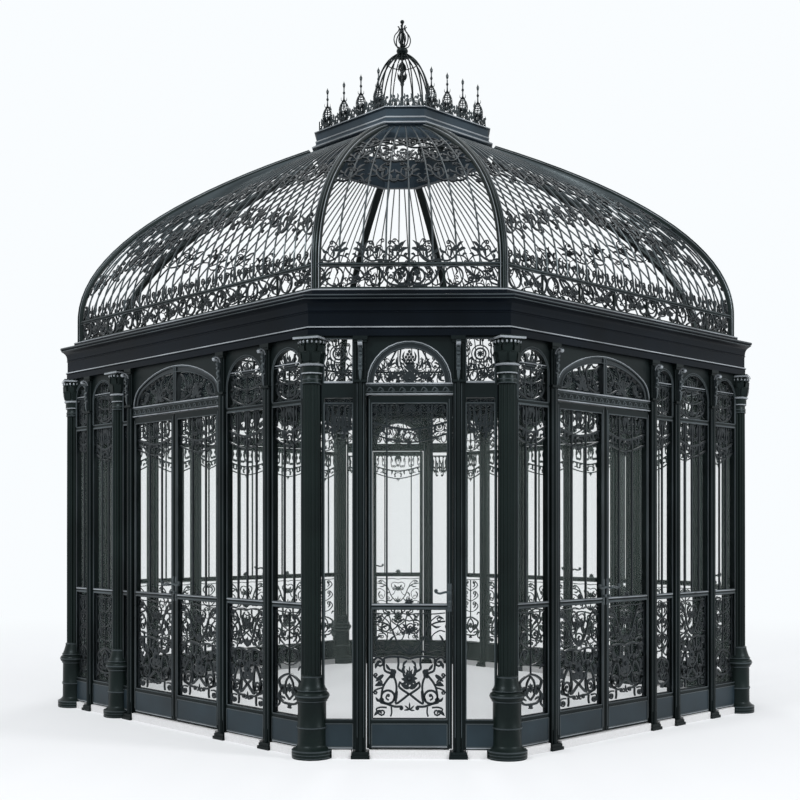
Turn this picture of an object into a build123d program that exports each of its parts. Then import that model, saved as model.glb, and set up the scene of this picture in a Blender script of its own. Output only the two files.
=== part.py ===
from build123d import *
import math
import os

# Wrought iron garden pavilion. Millimetres, +Z up, origin on the ground under the centre.
# The plan is a rectangle with its four corners cut off at 45 degrees. +X is the long way.

os.makedirs("parts", exist_ok=True)

# Driving dimensions

# plan, measured between column axes
front_side = 3450.0
end_side = 3150.0
corner_side = 1400.0

# heights above the ground
kerb_top = 60.0
kick_top = 275.0
mid_rail_bottom = 1070.0
mid_rail_top = 1105.0
head_rail_bottom = 2543.0
transom_bottom = 2601.0
transom_top = 2688.0
arch_rise = 282.0
haunch_share = 0.62
head_rail_top = 2581.0
crown_height = 2958.0
lintel_bottom = 3020.0
cornice_bottom = 3067.0
cornice_cove_bottom = 3200.0
cornice_cove_middle = 3258.0
cornice_lip_bottom = 3288.0
cornice_top = 3311.0
upstand_top = 3370.0
frieze_top = 3567.0
dome_top = 5300.0

# where posts stand on each side, measured from the side's first column
front_post_places = [340.0, 1035.0, 2390.0, 2965.0]
front_column_place = 820.0
front_door_place = 1035.0
end_post_places = [490.0, 1780.0, 2125.0, 2675.0]
end_door_place = 490.0
end_door_pitch = 1290.0
front_door_pitch = 1355.0
corner_post_places = [350.0, 1050.0]
corner_door_place = 350.0
corner_door_pitch = 700.0

# posts
post_width = 76.0
post_bead_radius = 20.0
post_foot_width = 130.0
post_foot_depth = 150.0
post_foot_height = 22.0
post_bead_sides = 8

# columns
shaft_radius = 66.0
flute_count = 12
flute_depth = 8.0
shaft_clearance = 5.0
collar_ring_radius = 80.0
drum_radius = 104.0
foot_radius = 146.0
foot_height = 45.0
foot_step_radius = 130.0
torus_radius = 124.0
torus_margin = 14.0
abacus_width = 205.0
drum_bottom = 100.0
drum_top = 417.0
torus_top = 480.0
shaft_bottom = 595.0
shaft_top = 2700.0
collar_top = 2735.0
bell_top = 2925.0
bell_sides = 8

# screens, doors and glass
frame_depth = 50.0
stile_width = 18.0
leaf_stile_width = 36.0
bar_width = 12.0
bar_depth = 16.0
glass_thickness = 6.0
glass_margin = 10.0
corner_head_height = 317.0
hinge_gap = 6.0
meeting_gap = 12.0
pivot_radius = 10.0
pivot_sides = 6
leaf_floor_gap = 8.0
leaf_head_gap = 8.0
seat_gap = 0.3

# kerb and upper rings, as distances outward from the column axes
kerb_half_depth = 55.0
shortest_kerb = 20.0
lintel_half_depth = 62.0
fascia_out = 60.0
lip_out = 115.0
cornice_bead = 18.0
cornice_bead_out = 10.0
cove_middle_out = 78.0
cove_margin = 8.0
upstand_out = 0.0
ring_in = 85.0

# dome
dome_inset = 40.0
rib_width = 66.0
rib_depth = 60.0
rib_bead_width = 28.0
rib_bead_height = 16.0
rib_bead_sink = 1.0
rib_space_margin = 60.0
glazing_bar_width = 14.0
glazing_bar_depth = 24.0
glazing_bar_sides = 6
front_panel_bars = 7
end_panel_bars = 6
corner_panel_bars = 2
rib_sides = 10
band_levels = [0.46, 0.60]
band_height = 20.0
band_inset = 26.0
band_drop = 6.0
bar_inset = 8.0
side_studs = 7
corner_studs = 3
frieze_rail_height = 20.0
frieze_rail_depth = 36.0

# lantern and cupola
lantern_front_side = 980.0
lantern_end_side = 860.0
lantern_corner_side = 350.0
lantern_skirt = 120.0
lantern_top = 5462.0
lantern_wall = 60.0
lantern_moulding_out = 35.0
lower_moulding_gap = 2.0
lower_moulding_height = 48.0
upper_moulding_height = 28.0
spire_height = 330.0
spire_width = 34.0
spire_taper = 2.4
cresting_rail_half_width = 8.0
cresting_rail_height = 16.0
cupola_base_radius = 385.0
cupola_top = 6250.0
cupola_neck_radius = 40.0
cupola_rib_count = 12
cupola_bar_width = 14.0
cupola_bar_depth = 16.0
cupola_bar_sides = 6
cupola_shoulder = 5900.0
cupola_base_height = 20.0
cupola_arm_width = 24.0
cupola_arm_share = 0.7
shoulder_draw_in = 20.0
cupola_ring_out = 6.0
cupola_ring_in = 26.0
neck_ring_out = 8.0
neck_ring_height = 20.0
collar_radius = 57.0
collar_height = 80.0
collar_foot_radius = 37.0
collar_foot_height = 22.0
collar_band_height = 28.0
stem_foot_radius = 16.0
stem_radius = 8.0
finial_sides = 10
prong_count = 6
prong_sides = 6
prong_width = 10.0
prong_height = 180.0
prong_reach = 83.0
prong_root_drop = 16.0
prong_root = 14.0
prong_root_inner = 4.0
prong_bow = 60.0
prong_bow_inner = 36.0
prong_bow_rise = 10.0
prong_bow_rise_inner = 20.0
prong_tip_back = 55.0
prong_tip_back_inner = 66.0
ball_radius = 20.0
ball_centre = 6574.0
ball_cut_angle = 30.0
octagon_half_angle = 22.5

# Worked out from them

diagonal = math.sqrt(0.5)
half_x = front_side / 2 + corner_side * diagonal
half_y = end_side / 2 + corner_side * diagonal
dome_rise = dome_top - frieze_top
half_flute = 180 / flute_count
lantern_bottom = dome_top - lantern_skirt
cupola_arm_x = lantern_front_side / 2 + lantern_corner_side * diagonal - lantern_wall * cupola_arm_share
cupola_arm_y = lantern_end_side / 2 + lantern_corner_side * diagonal - lantern_wall * cupola_arm_share
lower_moulding_bottom = dome_top + lower_moulding_gap
lower_moulding_top = lower_moulding_bottom + lower_moulding_height


def octagon(first, second, cut):
    """Corners of a rectangle with cut corners, anticlockwise, the front side's first."""
    x = first / 2 + cut * diagonal
    y = second / 2 + cut * diagonal
    quarter = [(first / 2, -y), (x, -second / 2), (x, second / 2), (first / 2, y)]
    return [(-first / 2, -y)] + quarter + [(-first / 2, y), (-x, second / 2), (-x, -second / 2)]


def wall_octagon(outward):
    """The octagon of the column axes, moved outward."""
    grow = 2 * outward * math.tan(math.radians(octagon_half_angle))
    return octagon(front_side + grow, end_side + grow, corner_side + grow)


def lantern_octagon(outward):
    """The octagon of the lantern's wall, moved outward."""
    grow = 2 * outward * math.tan(math.radians(octagon_half_angle))
    return octagon(lantern_front_side + grow, lantern_end_side + grow, lantern_corner_side + grow)


corners = wall_octagon(0)
dome_corners = wall_octagon(-dome_inset)
lantern_corners = lantern_octagon(0)
FRONT = 0


def side_plane(side, points=corners, height=0.0):
    """x runs along the side, y is up and z points outward."""
    start = points[side % 8]
    stop = points[(side + 1) % 8]
    along = (stop[0] - start[0], stop[1] - start[1], 0)
    outward = (along[1], -along[0], 0)
    return Plane(origin=(start[0], start[1], height), x_dir=along, z_dir=outward)


def side_length(side):
    return [front_side, corner_side, end_side, corner_side][side % 4]


def side_posts(side):
    return [front_post_places, corner_post_places, end_post_places, corner_post_places][side % 4]


def door_bay(side):
    """First and last post axis of the side's doorway."""
    start = [front_door_place, corner_door_place, end_door_place, corner_door_place][side % 4]
    pitch = [front_door_pitch, corner_door_pitch, end_door_pitch, corner_door_pitch][side % 4]
    return start, start + pitch


def screen_bays(side):
    """Clear spans between uprights where a fixed screen stands."""
    column_half = shaft_radius + shaft_clearance
    uprights = [(0.0, column_half), (side_length(side), column_half)]
    uprights += [(place, post_width / 2) for place in side_posts(side)]
    if side % 4 == FRONT:
        uprights.append((front_column_place, column_half))
    uprights.sort()
    door_start = door_bay(side)[0]
    spans = []
    for (place, half), (next_place, next_half) in zip(uprights, uprights[1:]):
        if place != door_start:
            spans.append((place + half + seat_gap, next_place - next_half - seat_gap))
    return spans


# Kerb

with BuildPart() as kerb:
    for side in range(8):
        feet = [(0.0, foot_radius), (side_length(side), foot_radius)]
        feet += [(place, post_foot_width / 2) for place in side_posts(side)]
        if side % 4 == FRONT:
            feet.append((front_column_place, foot_radius))
        feet.sort()
        for (place, half), (next_place, next_half) in zip(feet, feet[1:]):
            run = next_place - next_half - place - half - 2 * seat_gap
            if run > shortest_kerb:
                middle = place + half + seat_gap + run / 2
                with BuildSketch(side_plane(side)):
                    with Locations((middle, kerb_top / 2)):
                        Rectangle(run, kerb_top)
                extrude(amount=kerb_half_depth, both=True)
kerb.part.label = "kerb"
export_step(kerb.part, "parts/kerb.step")


# Columns

def frustum(sides, low, high, low_radius, high_radius):
    """A many-sided band between two heights, drawn from its wider end."""
    wide = max(low_radius, high_radius)
    spread = math.degrees(math.atan2(abs(low_radius - high_radius), high - low))
    with BuildPart() as band:
        with BuildSketch(Plane.XY):
            RegularPolygon(wide, sides, major_radius=False, rotation=180 / sides)
        extrude(amount=high - low, taper=spread)
    if high_radius > low_radius:
        return Location((0, 0, high), (180, 0, 0)) * band.part
    return Location((0, 0, low)) * band.part


def column_solid(rebate_angles):
    """One faceted and fluted column, with a rebate in its foot and cap for each screen."""
    rings = [
        (foot_radius, 0, foot_height),
        (foot_step_radius, foot_height, drum_bottom),
        (drum_radius, drum_bottom, drum_top),
        (torus_radius, drum_top, torus_top),
        (collar_ring_radius, shaft_top, collar_top),
    ]
    flares = [
        frustum(flute_count, torus_top, shaft_bottom, torus_radius - torus_margin, collar_ring_radius),
        frustum(bell_sides, collar_top, bell_top, shaft_radius, abacus_width / 2),
    ]
    flute_points = []
    for index in range(2 * flute_count):
        radius = shaft_radius if index % 2 else shaft_radius - flute_depth
        angle = math.pi * index / flute_count
        flute_points.append((radius * math.cos(angle), radius * math.sin(angle)))
    with BuildPart() as column:
        for radius, low, high in rings:
            with BuildSketch(Plane.XY.offset(low)):
                RegularPolygon(radius, flute_count, rotation=half_flute)
            extrude(amount=high - low)
        add(flares)
        with BuildSketch(Plane.XY.offset(shaft_bottom)):
            Polygon(*flute_points, align=None)
        extrude(amount=shaft_top - shaft_bottom)
        with BuildSketch(Plane.XY.offset(bell_top)):
            Rectangle(abacus_width, abacus_width)
        extrude(amount=lintel_bottom - bell_top)
        for angle in rebate_angles:
            reach = shaft_radius + shaft_clearance
            glass_side = math.copysign(glass_thickness / 2, angle)
            with BuildSketch(Plane.XY.rotated((0, 0, angle))):
                with Locations((reach + foot_radius, glass_side)):
                    Rectangle(2 * foot_radius, frame_depth + glass_thickness + 2 * seat_gap)
            extrude(amount=lintel_bottom, mode=Mode.SUBTRACT)
    return column.part


# the screens on either side of a corner run back from it at this angle to its outward line
corner_rebate = 112.5
corner_column = column_solid([corner_rebate, -corner_rebate])
corner_spots = []
for index, point in enumerate(corners):
    corner_spots.append(Location((point[0], point[1], 0), (0, 0, 2 * octagon_half_angle * index - corner_rebate)))
with BuildPart() as corner_columns:
    with Locations(*corner_spots):
        add(corner_column)
corner_columns.part.label = "corner_columns"
export_step(corner_columns.part, "parts/corner_columns.step")

bay_column = column_solid([90, -90])
bay_spot = front_column_place - front_side / 2
with BuildPart() as bay_columns:
    with Locations(Location((bay_spot, -half_y, 0), (0, 0, -90)), Location((-bay_spot, half_y, 0), (0, 0, 90))):
        add(bay_column)
bay_columns.part.label = "bay_columns"
export_step(bay_columns.part, "parts/bay_columns.step")


# Posts

with BuildPart() as posts:
    for side in range(8):
        wall = side_plane(side)
        level = Plane(origin=wall.origin, x_dir=wall.x_dir, z_dir=(0, 0, 1))
        for place in side_posts(side):
            with BuildSketch(level.offset(post_foot_height)):
                with Locations((place, 0)):
                    Rectangle(post_width, post_width)
                with Locations((place, post_width / 2), (place, -post_width / 2)):
                    RegularPolygon(post_bead_radius, post_bead_sides, major_radius=False)
            extrude(amount=lintel_bottom - post_foot_height)
            with BuildSketch(level):
                with Locations((place, 0)):
                    Rectangle(post_foot_width, post_foot_depth)
            extrude(amount=post_foot_height)
posts.part.label = "posts"
export_step(posts.part, "parts/posts.step")


# Screens

def arched_head(middle, width, bottom, rise):
    """A round arch over a narrow span, or a basket arch over a wide one, drawn in the current sketch."""
    half = width / 2
    with BuildLine() as outline:
        if half <= rise:
            Polyline((middle - half, bottom + rise - half), (middle - half, bottom), (middle + half, bottom))
            Line((middle + half, bottom), (middle + half, bottom + rise - half))
            CenterArc((middle, bottom + rise - half), half, 0, 180)
        else:
            # two small arcs at the haunches run into a large one over the crown
            haunch = rise * haunch_share
            crown = (half ** 2 + rise ** 2 - 2 * half * haunch) / (2 * (rise - haunch))
            centre = (middle, bottom + rise - crown)
            tilt = math.degrees(math.atan2(bottom - centre[1], half - haunch))
            Line((middle - half, bottom), (middle + half, bottom))
            CenterArc((middle + half - haunch, bottom), haunch, 0, tilt)
            CenterArc(centre, crown, tilt, 180 - 2 * tilt)
            CenterArc((middle - half + haunch, bottom), haunch, 180 - tilt, tilt)
    make_face(outline.edges())


def screen_solid(side, left, right):
    """A fixed screen. On the cut corners it has no middle rail and a square head, elsewhere an arched one."""
    wall = side_plane(side)
    middle = (left + right) / 2
    width = right - left
    clear = width - 2 * stile_width
    if side % 2:
        lights = [(kick_top, head_rail_top), (transom_top, transom_top + corner_head_height)]
    else:
        lights = [(kick_top, mid_rail_bottom), (mid_rail_top, head_rail_bottom)]
    with BuildPart() as screen:
        with BuildSketch(wall):
            with Locations((middle, (kerb_top + lintel_bottom) / 2)):
                Rectangle(width, lintel_bottom - kerb_top)
            for low, high in lights:
                with Locations((middle, (low + high) / 2)):
                    Rectangle(clear, high - low, mode=Mode.SUBTRACT)
            if side % 2 == 0:
                with BuildSketch(mode=Mode.PRIVATE) as head:
                    arched_head(middle, clear, head_rail_top, crown_height - head_rail_top)
                add(head.sketch, mode=Mode.SUBTRACT)
        extrude(amount=frame_depth / 2, both=True)
    return screen.part


half_turn = Location((0, 0, 0), (0, 0, 180))


def with_far_copy(pieces):
    """The pieces, and the same pieces on the far side of the building."""
    return pieces + [half_turn * piece for piece in pieces]


def export_node(name, pieces):
    with BuildPart() as node:
        add(pieces)
    node.part.label = name
    export_step(node.part, "parts/" + name + ".step")


front_screens = [screen_solid(0, left, right) for left, right in screen_bays(0)]
right_screens = [screen_solid(2, left, right) for left, right in screen_bays(2)]
corner_screens = [screen_solid(side, left, right) for side in (1, 3) for left, right in screen_bays(side)]
export_node("front_screens", front_screens)
export_node("right_screens", right_screens)
export_node("back_screens", [half_turn * piece for piece in front_screens])
export_node("left_screens", [half_turn * piece for piece in right_screens])
export_node("corner_screens", with_far_copy(corner_screens))


# Fanlights over the doors

def fanlight_solid(side):
    wall = side_plane(side)
    start, stop = door_bay(side)
    left = start + post_width / 2 + seat_gap
    right = stop - post_width / 2 - seat_gap
    middle = (left + right) / 2
    clear = right - left - 2 * stile_width
    with BuildPart() as fanlight:
        with BuildSketch(wall):
            with Locations((middle, (transom_bottom + lintel_bottom) / 2)):
                Rectangle(right - left, lintel_bottom - transom_bottom)
            with BuildSketch(mode=Mode.PRIVATE) as head:
                arched_head(middle, clear, transom_top, arch_rise)
            add(head.sketch, mode=Mode.SUBTRACT)
        extrude(amount=frame_depth / 2, both=True)
    return fanlight.part


export_node("door_fanlights", with_far_copy([fanlight_solid(0), fanlight_solid(2)]))
export_node("corner_fanlights", with_far_copy([fanlight_solid(1), fanlight_solid(3)]))


# Door leaves

def leaf_spans(side):
    """Left and right edge of each leaf in the side's doorway."""
    start, stop = door_bay(side)
    left = start + post_width / 2 + hinge_gap
    right = stop - post_width / 2 - hinge_gap
    if side % 2:
        return [(left, right)]
    middle = (left + right) / 2
    return [(left, middle - meeting_gap / 2), (middle + meeting_gap / 2, right)]


leaf_bottom = kerb_top + leaf_floor_gap
leaf_top = transom_bottom - leaf_head_gap


def leaf_solid(side, left, right, heel):
    """A door leaf. Its heel edge is half round about the pivot, so that it clears the post."""
    wall = side_plane(side)
    middle = (left + right) / 2
    clear = right - left - 2 * leaf_stile_width
    level = Plane(origin=wall.origin, x_dir=wall.x_dir, z_dir=(0, 0, 1))
    half = frame_depth / 2
    with BuildPart() as leaf:
        with BuildSketch(level.offset(leaf_bottom)):
            with Locations((heel, 0)):
                Circle(half)
            with Locations(((heel + (right if heel < middle else left)) / 2, 0)):
                Rectangle(right - left - half, frame_depth)
        extrude(amount=leaf_top - leaf_bottom)
        with BuildSketch(wall):
            for low, high in (
                (kick_top, mid_rail_bottom),
                (mid_rail_top, head_rail_bottom),
            ):
                with Locations((middle, (low + high) / 2)):
                    Rectangle(clear, high - low)
        extrude(amount=frame_depth, both=True, mode=Mode.SUBTRACT)
    return leaf.part


def heel_place(side, index):
    """Where a leaf's pivot axis stands along its side."""
    left, right = leaf_spans(side)[index]
    return left + frame_depth / 2 if index == 0 else right - frame_depth / 2


def pivot_pair(side, index):
    """The pin under a leaf's heel and the pin over it."""
    wall = side_plane(side)
    level = Plane(origin=wall.origin, x_dir=wall.x_dir, z_dir=(0, 0, 1))
    pins = []
    for low, high in ((kerb_top, leaf_bottom - seat_gap), (leaf_top + seat_gap, transom_bottom)):
        with BuildPart() as pin:
            with BuildSketch(level.offset(low)):
                with Locations((heel_place(side, index), 0)):
                    RegularPolygon(pivot_radius, pivot_sides)
            extrude(amount=high - low)
        pins.append(pin.part)
    return pins


front_leaves = [leaf_solid(0, *leaf_spans(0)[index], heel_place(0, index)) for index in (0, 1)]
right_leaves = [leaf_solid(2, *leaf_spans(2)[index], heel_place(2, index)) for index in (0, 1)]
corner_leaf = leaf_solid(1, *leaf_spans(1)[0], heel_place(1, 0))
north_corner_leaf = leaf_solid(3, *leaf_spans(3)[0], heel_place(3, 0))
export_node("front_door_left", [front_leaves[0]])
export_node("front_door_right", [front_leaves[1]])
export_node("right_door_left", [right_leaves[0]])
export_node("right_door_right", [right_leaves[1]])
export_node("corner_door", [corner_leaf])
export_node("back_doors", [half_turn * piece for piece in front_leaves])
export_node("left_doors", [half_turn * piece for piece in right_leaves])
pivots = []
for side, index in ((0, 0), (0, 1), (1, 0), (2, 0), (2, 1), (3, 0)):
    pivots += pivot_pair(side, index)
export_node("door_pivots", with_far_copy(pivots))
export_node("fixed_corner_doors", [north_corner_leaf, half_turn * corner_leaf, half_turn * north_corner_leaf])


# Glass, bedded on the inner face of each frame

def glass_sheet(side, left, right, bottom, top):
    back = side_plane(side).offset(-frame_depth / 2)
    with BuildPart() as sheet:
        with BuildSketch(back):
            with Locations(((left + right) / 2, (bottom + top) / 2)):
                Rectangle(right - left - 2 * glass_margin, top - bottom - 2 * glass_margin)
        extrude(amount=-glass_thickness)
    return sheet.part


fixed_glass = []
for side in range(4):
    for left, right in screen_bays(side):
        fixed_glass.append(glass_sheet(side, left, right, kerb_top, lintel_bottom))
    start, stop = door_bay(side)
    half = post_width / 2 + seat_gap
    fixed_glass.append(glass_sheet(side, start + half, stop - half, transom_bottom, lintel_bottom))
fixed_glass = with_far_copy(fixed_glass)
leaf_glass = {}
for side in range(4):
    for index, (left, right) in enumerate(leaf_spans(side)):
        leaf_glass[side, index] = glass_sheet(side, left, right, leaf_bottom, leaf_top)
        fixed_glass.append(half_turn * leaf_glass[side, index])
fixed_glass.append(leaf_glass[3, 0])
export_node("wall_glass", fixed_glass)
export_node("front_door_left_glass", [leaf_glass[0, 0]])
export_node("front_door_right_glass", [leaf_glass[0, 1]])
export_node("right_door_left_glass", [leaf_glass[2, 0]])
export_node("right_door_right_glass", [leaf_glass[2, 1]])
export_node("corner_door_glass", [leaf_glass[1, 0]])


# Lintel and cornice

with BuildPart() as lintel:
    with BuildSketch(Plane.XY.offset(lintel_bottom)):
        Polygon(*wall_octagon(lintel_half_depth), align=None)
        Polygon(*wall_octagon(-lintel_half_depth), align=None, mode=Mode.SUBTRACT)
    extrude(amount=cornice_bottom - lintel_bottom)
lintel.part.label = "lintel"
export_step(lintel.part, "parts/lintel.step")

# lower and upper height of each moulding, and how far out it stands at the one and at the other
cornice_steps = [
    (cornice_bottom, cornice_bottom + cornice_bead, fascia_out + cornice_bead_out, fascia_out + cornice_bead_out),
    (cornice_bottom, cornice_cove_bottom, fascia_out, fascia_out),
    (cornice_cove_bottom, cornice_cove_middle, fascia_out, cove_middle_out),
    (cornice_cove_middle, cornice_lip_bottom, cove_middle_out, lip_out - cove_margin),
    (cornice_lip_bottom, cornice_top, lip_out, lip_out),
    (cornice_top, upstand_top, upstand_out, upstand_out),
]
with BuildPart() as cornice:
    for low, high, low_out, high_out in cornice_steps:
        for level, out in ((low, low_out), (high, high_out)):
            with BuildSketch(Plane.XY.offset(level)):
                Polygon(*wall_octagon(out), align=None)
        loft(ruled=True)
    with BuildSketch(Plane.XY.offset(cornice_bottom)):
        Polygon(*wall_octagon(-ring_in), align=None)
    extrude(amount=upstand_top - cornice_bottom, mode=Mode.SUBTRACT)
cornice.part.label = "cornice"
export_step(cornice.part, "parts/cornice.step")


# Dome

# Each rib and bar follows the same parabola: upright at the frieze, flattest at the lantern.

def dome_plane(foot, head):
    """x runs inward from a bar's foot to its head on the lantern and y is up."""
    inward = (head[0] - foot[0], head[1] - foot[1], 0)
    return Plane(origin=(foot[0], foot[1], 0), x_dir=inward, z_dir=(inward[1], -inward[0], 0))


def dome_run(foot, head):
    return math.hypot(head[0] - foot[0], head[1] - foot[1])


def curve_controls(run, inward):
    """Control points of the dome's parabola, moved inward, for a bar of this run."""
    slope = dome_rise / (2 * run)
    drop = inward * math.sqrt(1 + slope * slope)
    return [
        (inward, frieze_top),
        (inward, frieze_top + dome_rise / 2 - drop + inward * slope),
        (run, dome_top - drop),
    ]


def point_on_curve(controls, share):
    """The point of a three-point curve at a share of its way."""
    rest = 1 - share
    weights = (rest * rest, 2 * rest * share, share * share)
    return tuple(sum(w * p[axis] for w, p in zip(weights, controls)) for axis in (0, 1))


def strip_outline(run, outer, inner, sides, foot_height=frieze_top):
    """A bar that follows the parabola in a number of straight sides, drawn in the current sketch."""
    steps = [index / sides for index in range(sides + 1)]
    outside = [point_on_curve(curve_controls(run, outer), share) for share in steps]
    inside = [point_on_curve(curve_controls(run, inner), share) for share in steps]
    if foot_height < frieze_top:
        outside.insert(0, (outer, foot_height))
        inside.insert(0, (inner, foot_height))
    Polygon(*outside, *reversed(inside), align=None)


def rib_solid(corner, outer, inner, width):
    """A corner rib, or the space it takes, from the cornice to the lantern's wall."""
    foot = dome_corners[corner % 8]
    head = lantern_corners[corner % 8]
    with BuildPart() as rib:
        with BuildSketch(dome_plane(foot, head)):
            strip_outline(dome_run(foot, head), outer, inner, rib_sides, upstand_top)
        extrude(amount=width / 2, both=True)
    return rib.part


def lantern_space():
    """The lantern's wall and lower moulding with all that is inside, at the height of the dome."""
    with BuildPart() as space:
        with BuildSketch(Plane.XY.offset(frieze_top)):
            Polygon(*lantern_corners, align=None)
        extrude(amount=lantern_top - frieze_top)
        with BuildSketch(Plane.XY.offset(lower_moulding_bottom)):
            Polygon(*lantern_octagon(lantern_moulding_out), align=None)
        extrude(amount=lantern_top - lower_moulding_bottom)
    return space.part


lantern_cut = lantern_space()
rib_spaces = [rib_solid(corner, -rib_space_margin, rib_depth + rib_space_margin, rib_width) for corner in range(8)]
rib_bodies = [rib_solid(corner, 0, rib_depth, rib_width) for corner in range(8)]
rib_beads = [rib_solid(corner, -rib_bead_height, rib_bead_sink, rib_bead_width) for corner in range(8)]
with BuildPart() as dome_ribs:
    add(rib_bodies)
    add(rib_beads)
    add(lantern_cut, mode=Mode.SUBTRACT)
dome_ribs.part.label = "dome_ribs"
export_step(dome_ribs.part, "parts/dome_ribs.step")


def mix(first, second, share):
    return tuple(a + (b - a) * share for a, b in zip(first, second))


with BuildPart() as dome_frieze:
    for low in (upstand_top, frieze_top - frieze_rail_height):
        with BuildSketch(Plane.XY.offset(low)):
            Polygon(*wall_octagon(-dome_inset), align=None)
            Polygon(*wall_octagon(-dome_inset - frieze_rail_depth), align=None, mode=Mode.SUBTRACT)
        extrude(amount=frieze_rail_height)
    for side in range(8):
        wall = side_plane(side, dome_corners)
        length = side_length(side)
        studs = corner_studs if side % 2 else side_studs
        with BuildSketch(wall.offset(-frieze_rail_depth / 2)):
            for index in range(1, studs):
                with Locations((length * index / studs, (upstand_top + frieze_top) / 2)):
                    Rectangle(bar_width, frieze_top - upstand_top - 2 * frieze_rail_height)
        extrude(amount=bar_depth / 2, both=True)
    add(rib_spaces, mode=Mode.SUBTRACT)
dome_frieze.part.label = "dome_frieze"
export_step(dome_frieze.part, "parts/dome_frieze.step")


def dome_panel(side, bars):
    """The lattice between two corner ribs: glazing bars crossed by level bands."""
    feet = (dome_corners[side % 8], dome_corners[(side + 1) % 8])
    heads = (lantern_corners[side % 8], lantern_corners[(side + 1) % 8])
    with BuildPart() as panel:
        for index in range(bars):
            share = (index + 1) / (bars + 1)
            foot = mix(feet[0], feet[1], share)
            head = mix(heads[0], heads[1], share)
            with BuildSketch(dome_plane(foot, head)):
                strip_outline(dome_run(foot, head), bar_inset, bar_inset + glazing_bar_depth, glazing_bar_sides)
            extrude(amount=glazing_bar_width / 2, both=True)
        for level in band_levels:
            share = level * level
            start = mix(feet[0], heads[0], share)
            stop = mix(feet[1], heads[1], share)
            height = frieze_top + dome_rise * level
            along = (stop[0] - start[0], stop[1] - start[1], 0)
            band = Plane(origin=(start[0], start[1], height), x_dir=(along[1], -along[0], 0), z_dir=along)
            with BuildSketch(band):
                with Locations((-band_inset, -band_drop)):
                    Rectangle(glazing_bar_depth, band_height)
            extrude(amount=math.hypot(along[0], along[1]))
        add([rib_spaces[side % 8], rib_spaces[(side + 1) % 8], lantern_cut], mode=Mode.SUBTRACT)
    return panel.part


front_panel = dome_panel(0, front_panel_bars)
end_panel = dome_panel(2, end_panel_bars)
corner_panels = [dome_panel(1, corner_panel_bars), dome_panel(3, corner_panel_bars)]
export_node("dome_panel_front", [front_panel])
export_node("dome_panel_right", [end_panel])
export_node("dome_panel_back", [half_turn * front_panel])
export_node("dome_panel_left", [half_turn * end_panel])
export_node("dome_corner_panels", with_far_copy(corner_panels))


# Lantern

with BuildPart() as lantern:
    with BuildSketch(Plane.XY.offset(lantern_bottom)):
        Polygon(*lantern_octagon(0), align=None)
    extrude(amount=lantern_top - lantern_bottom)
    with BuildSketch(Plane.XY.offset(lower_moulding_bottom)):
        Polygon(*lantern_octagon(lantern_moulding_out), align=None)
    extrude(amount=lower_moulding_top - lower_moulding_bottom)
    with BuildSketch(Plane.XY.offset(lantern_top - upper_moulding_height)):
        Polygon(*lantern_octagon(lantern_moulding_out / 2), align=None)
    extrude(amount=upper_moulding_height)
    with BuildSketch(Plane.XY.offset(lantern_bottom)):
        Polygon(*lantern_octagon(-lantern_wall), align=None)
    extrude(amount=lantern_top - lantern_bottom, mode=Mode.SUBTRACT)
lantern.part.label = "lantern"
export_step(lantern.part, "parts/lantern.step")


def spire_places():
    """A spire at each corner of the lantern and two more along each longer side."""
    ring_points = lantern_octagon(-lantern_wall / 2)
    places = []
    for side in range(8):
        start = ring_points[side]
        stop = ring_points[(side + 1) % 8]
        shares = [0.0] if side % 2 else [0.0, 1 / 3, 2 / 3]
        places += [mix(start, stop, share) for share in shares]
    return places


with BuildPart() as cresting:
    with BuildSketch(Plane.XY.offset(lantern_top)):
        Polygon(*lantern_octagon(-lantern_wall / 2 + cresting_rail_half_width), align=None)
        Polygon(*lantern_octagon(-lantern_wall / 2 - cresting_rail_half_width), align=None, mode=Mode.SUBTRACT)
    extrude(amount=cresting_rail_height)
    for place in spire_places():
        with BuildSketch(Plane(origin=(place[0], place[1], lantern_top))):
            Rectangle(spire_width, spire_width)
        extrude(amount=spire_height, taper=spire_taper)
cresting.part.label = "cresting"
export_step(cresting.part, "parts/cresting.step")


# Cupola and finial

def cupola_controls(radius_shift):
    """Control points of the bird-cage curve from the base ring to the neck."""
    base = cupola_base_radius + radius_shift
    neck = cupola_neck_radius + radius_shift
    return [(base, lantern_top), (base - shoulder_draw_in, cupola_shoulder), (neck, cupola_top)]


with BuildPart() as cupola:
    steps = [index / cupola_bar_sides for index in range(cupola_bar_sides + 1)]
    outside = [point_on_curve(cupola_controls(0), share) for share in steps]
    inside = [point_on_curve(cupola_controls(-cupola_bar_depth), share) for share in steps]
    for index in range(cupola_rib_count):
        with BuildSketch(Plane.XZ.rotated((0, 0, 360 / cupola_rib_count * index))):
            Polygon(*outside, *reversed(inside), align=None)
        extrude(amount=cupola_bar_width / 2, both=True)
    with BuildSketch(Plane.XY.offset(lantern_top)):
        RegularPolygon(cupola_base_radius + cupola_ring_out, cupola_rib_count)
        RegularPolygon(cupola_base_radius - cupola_ring_in, cupola_rib_count, mode=Mode.SUBTRACT)
        Rectangle(2 * cupola_arm_x, cupola_arm_width)
        Rectangle(cupola_arm_width, 2 * cupola_arm_y)
    extrude(amount=cupola_base_height)
    with BuildSketch(Plane.XY.offset(cupola_top - neck_ring_height)):
        RegularPolygon(cupola_neck_radius + neck_ring_out, cupola_rib_count)
    extrude(amount=neck_ring_height)
cupola.part.label = "cupola"
export_step(cupola.part, "parts/cupola.step")

collar_shoulder = cupola_top + collar_foot_height
collar_lip = collar_shoulder + collar_band_height
stem_bottom = cupola_top + collar_height
ball_half = ball_radius * math.sin(math.radians(ball_cut_angle))
ball_flat = ball_radius * math.sin(math.radians(ball_cut_angle))

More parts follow.
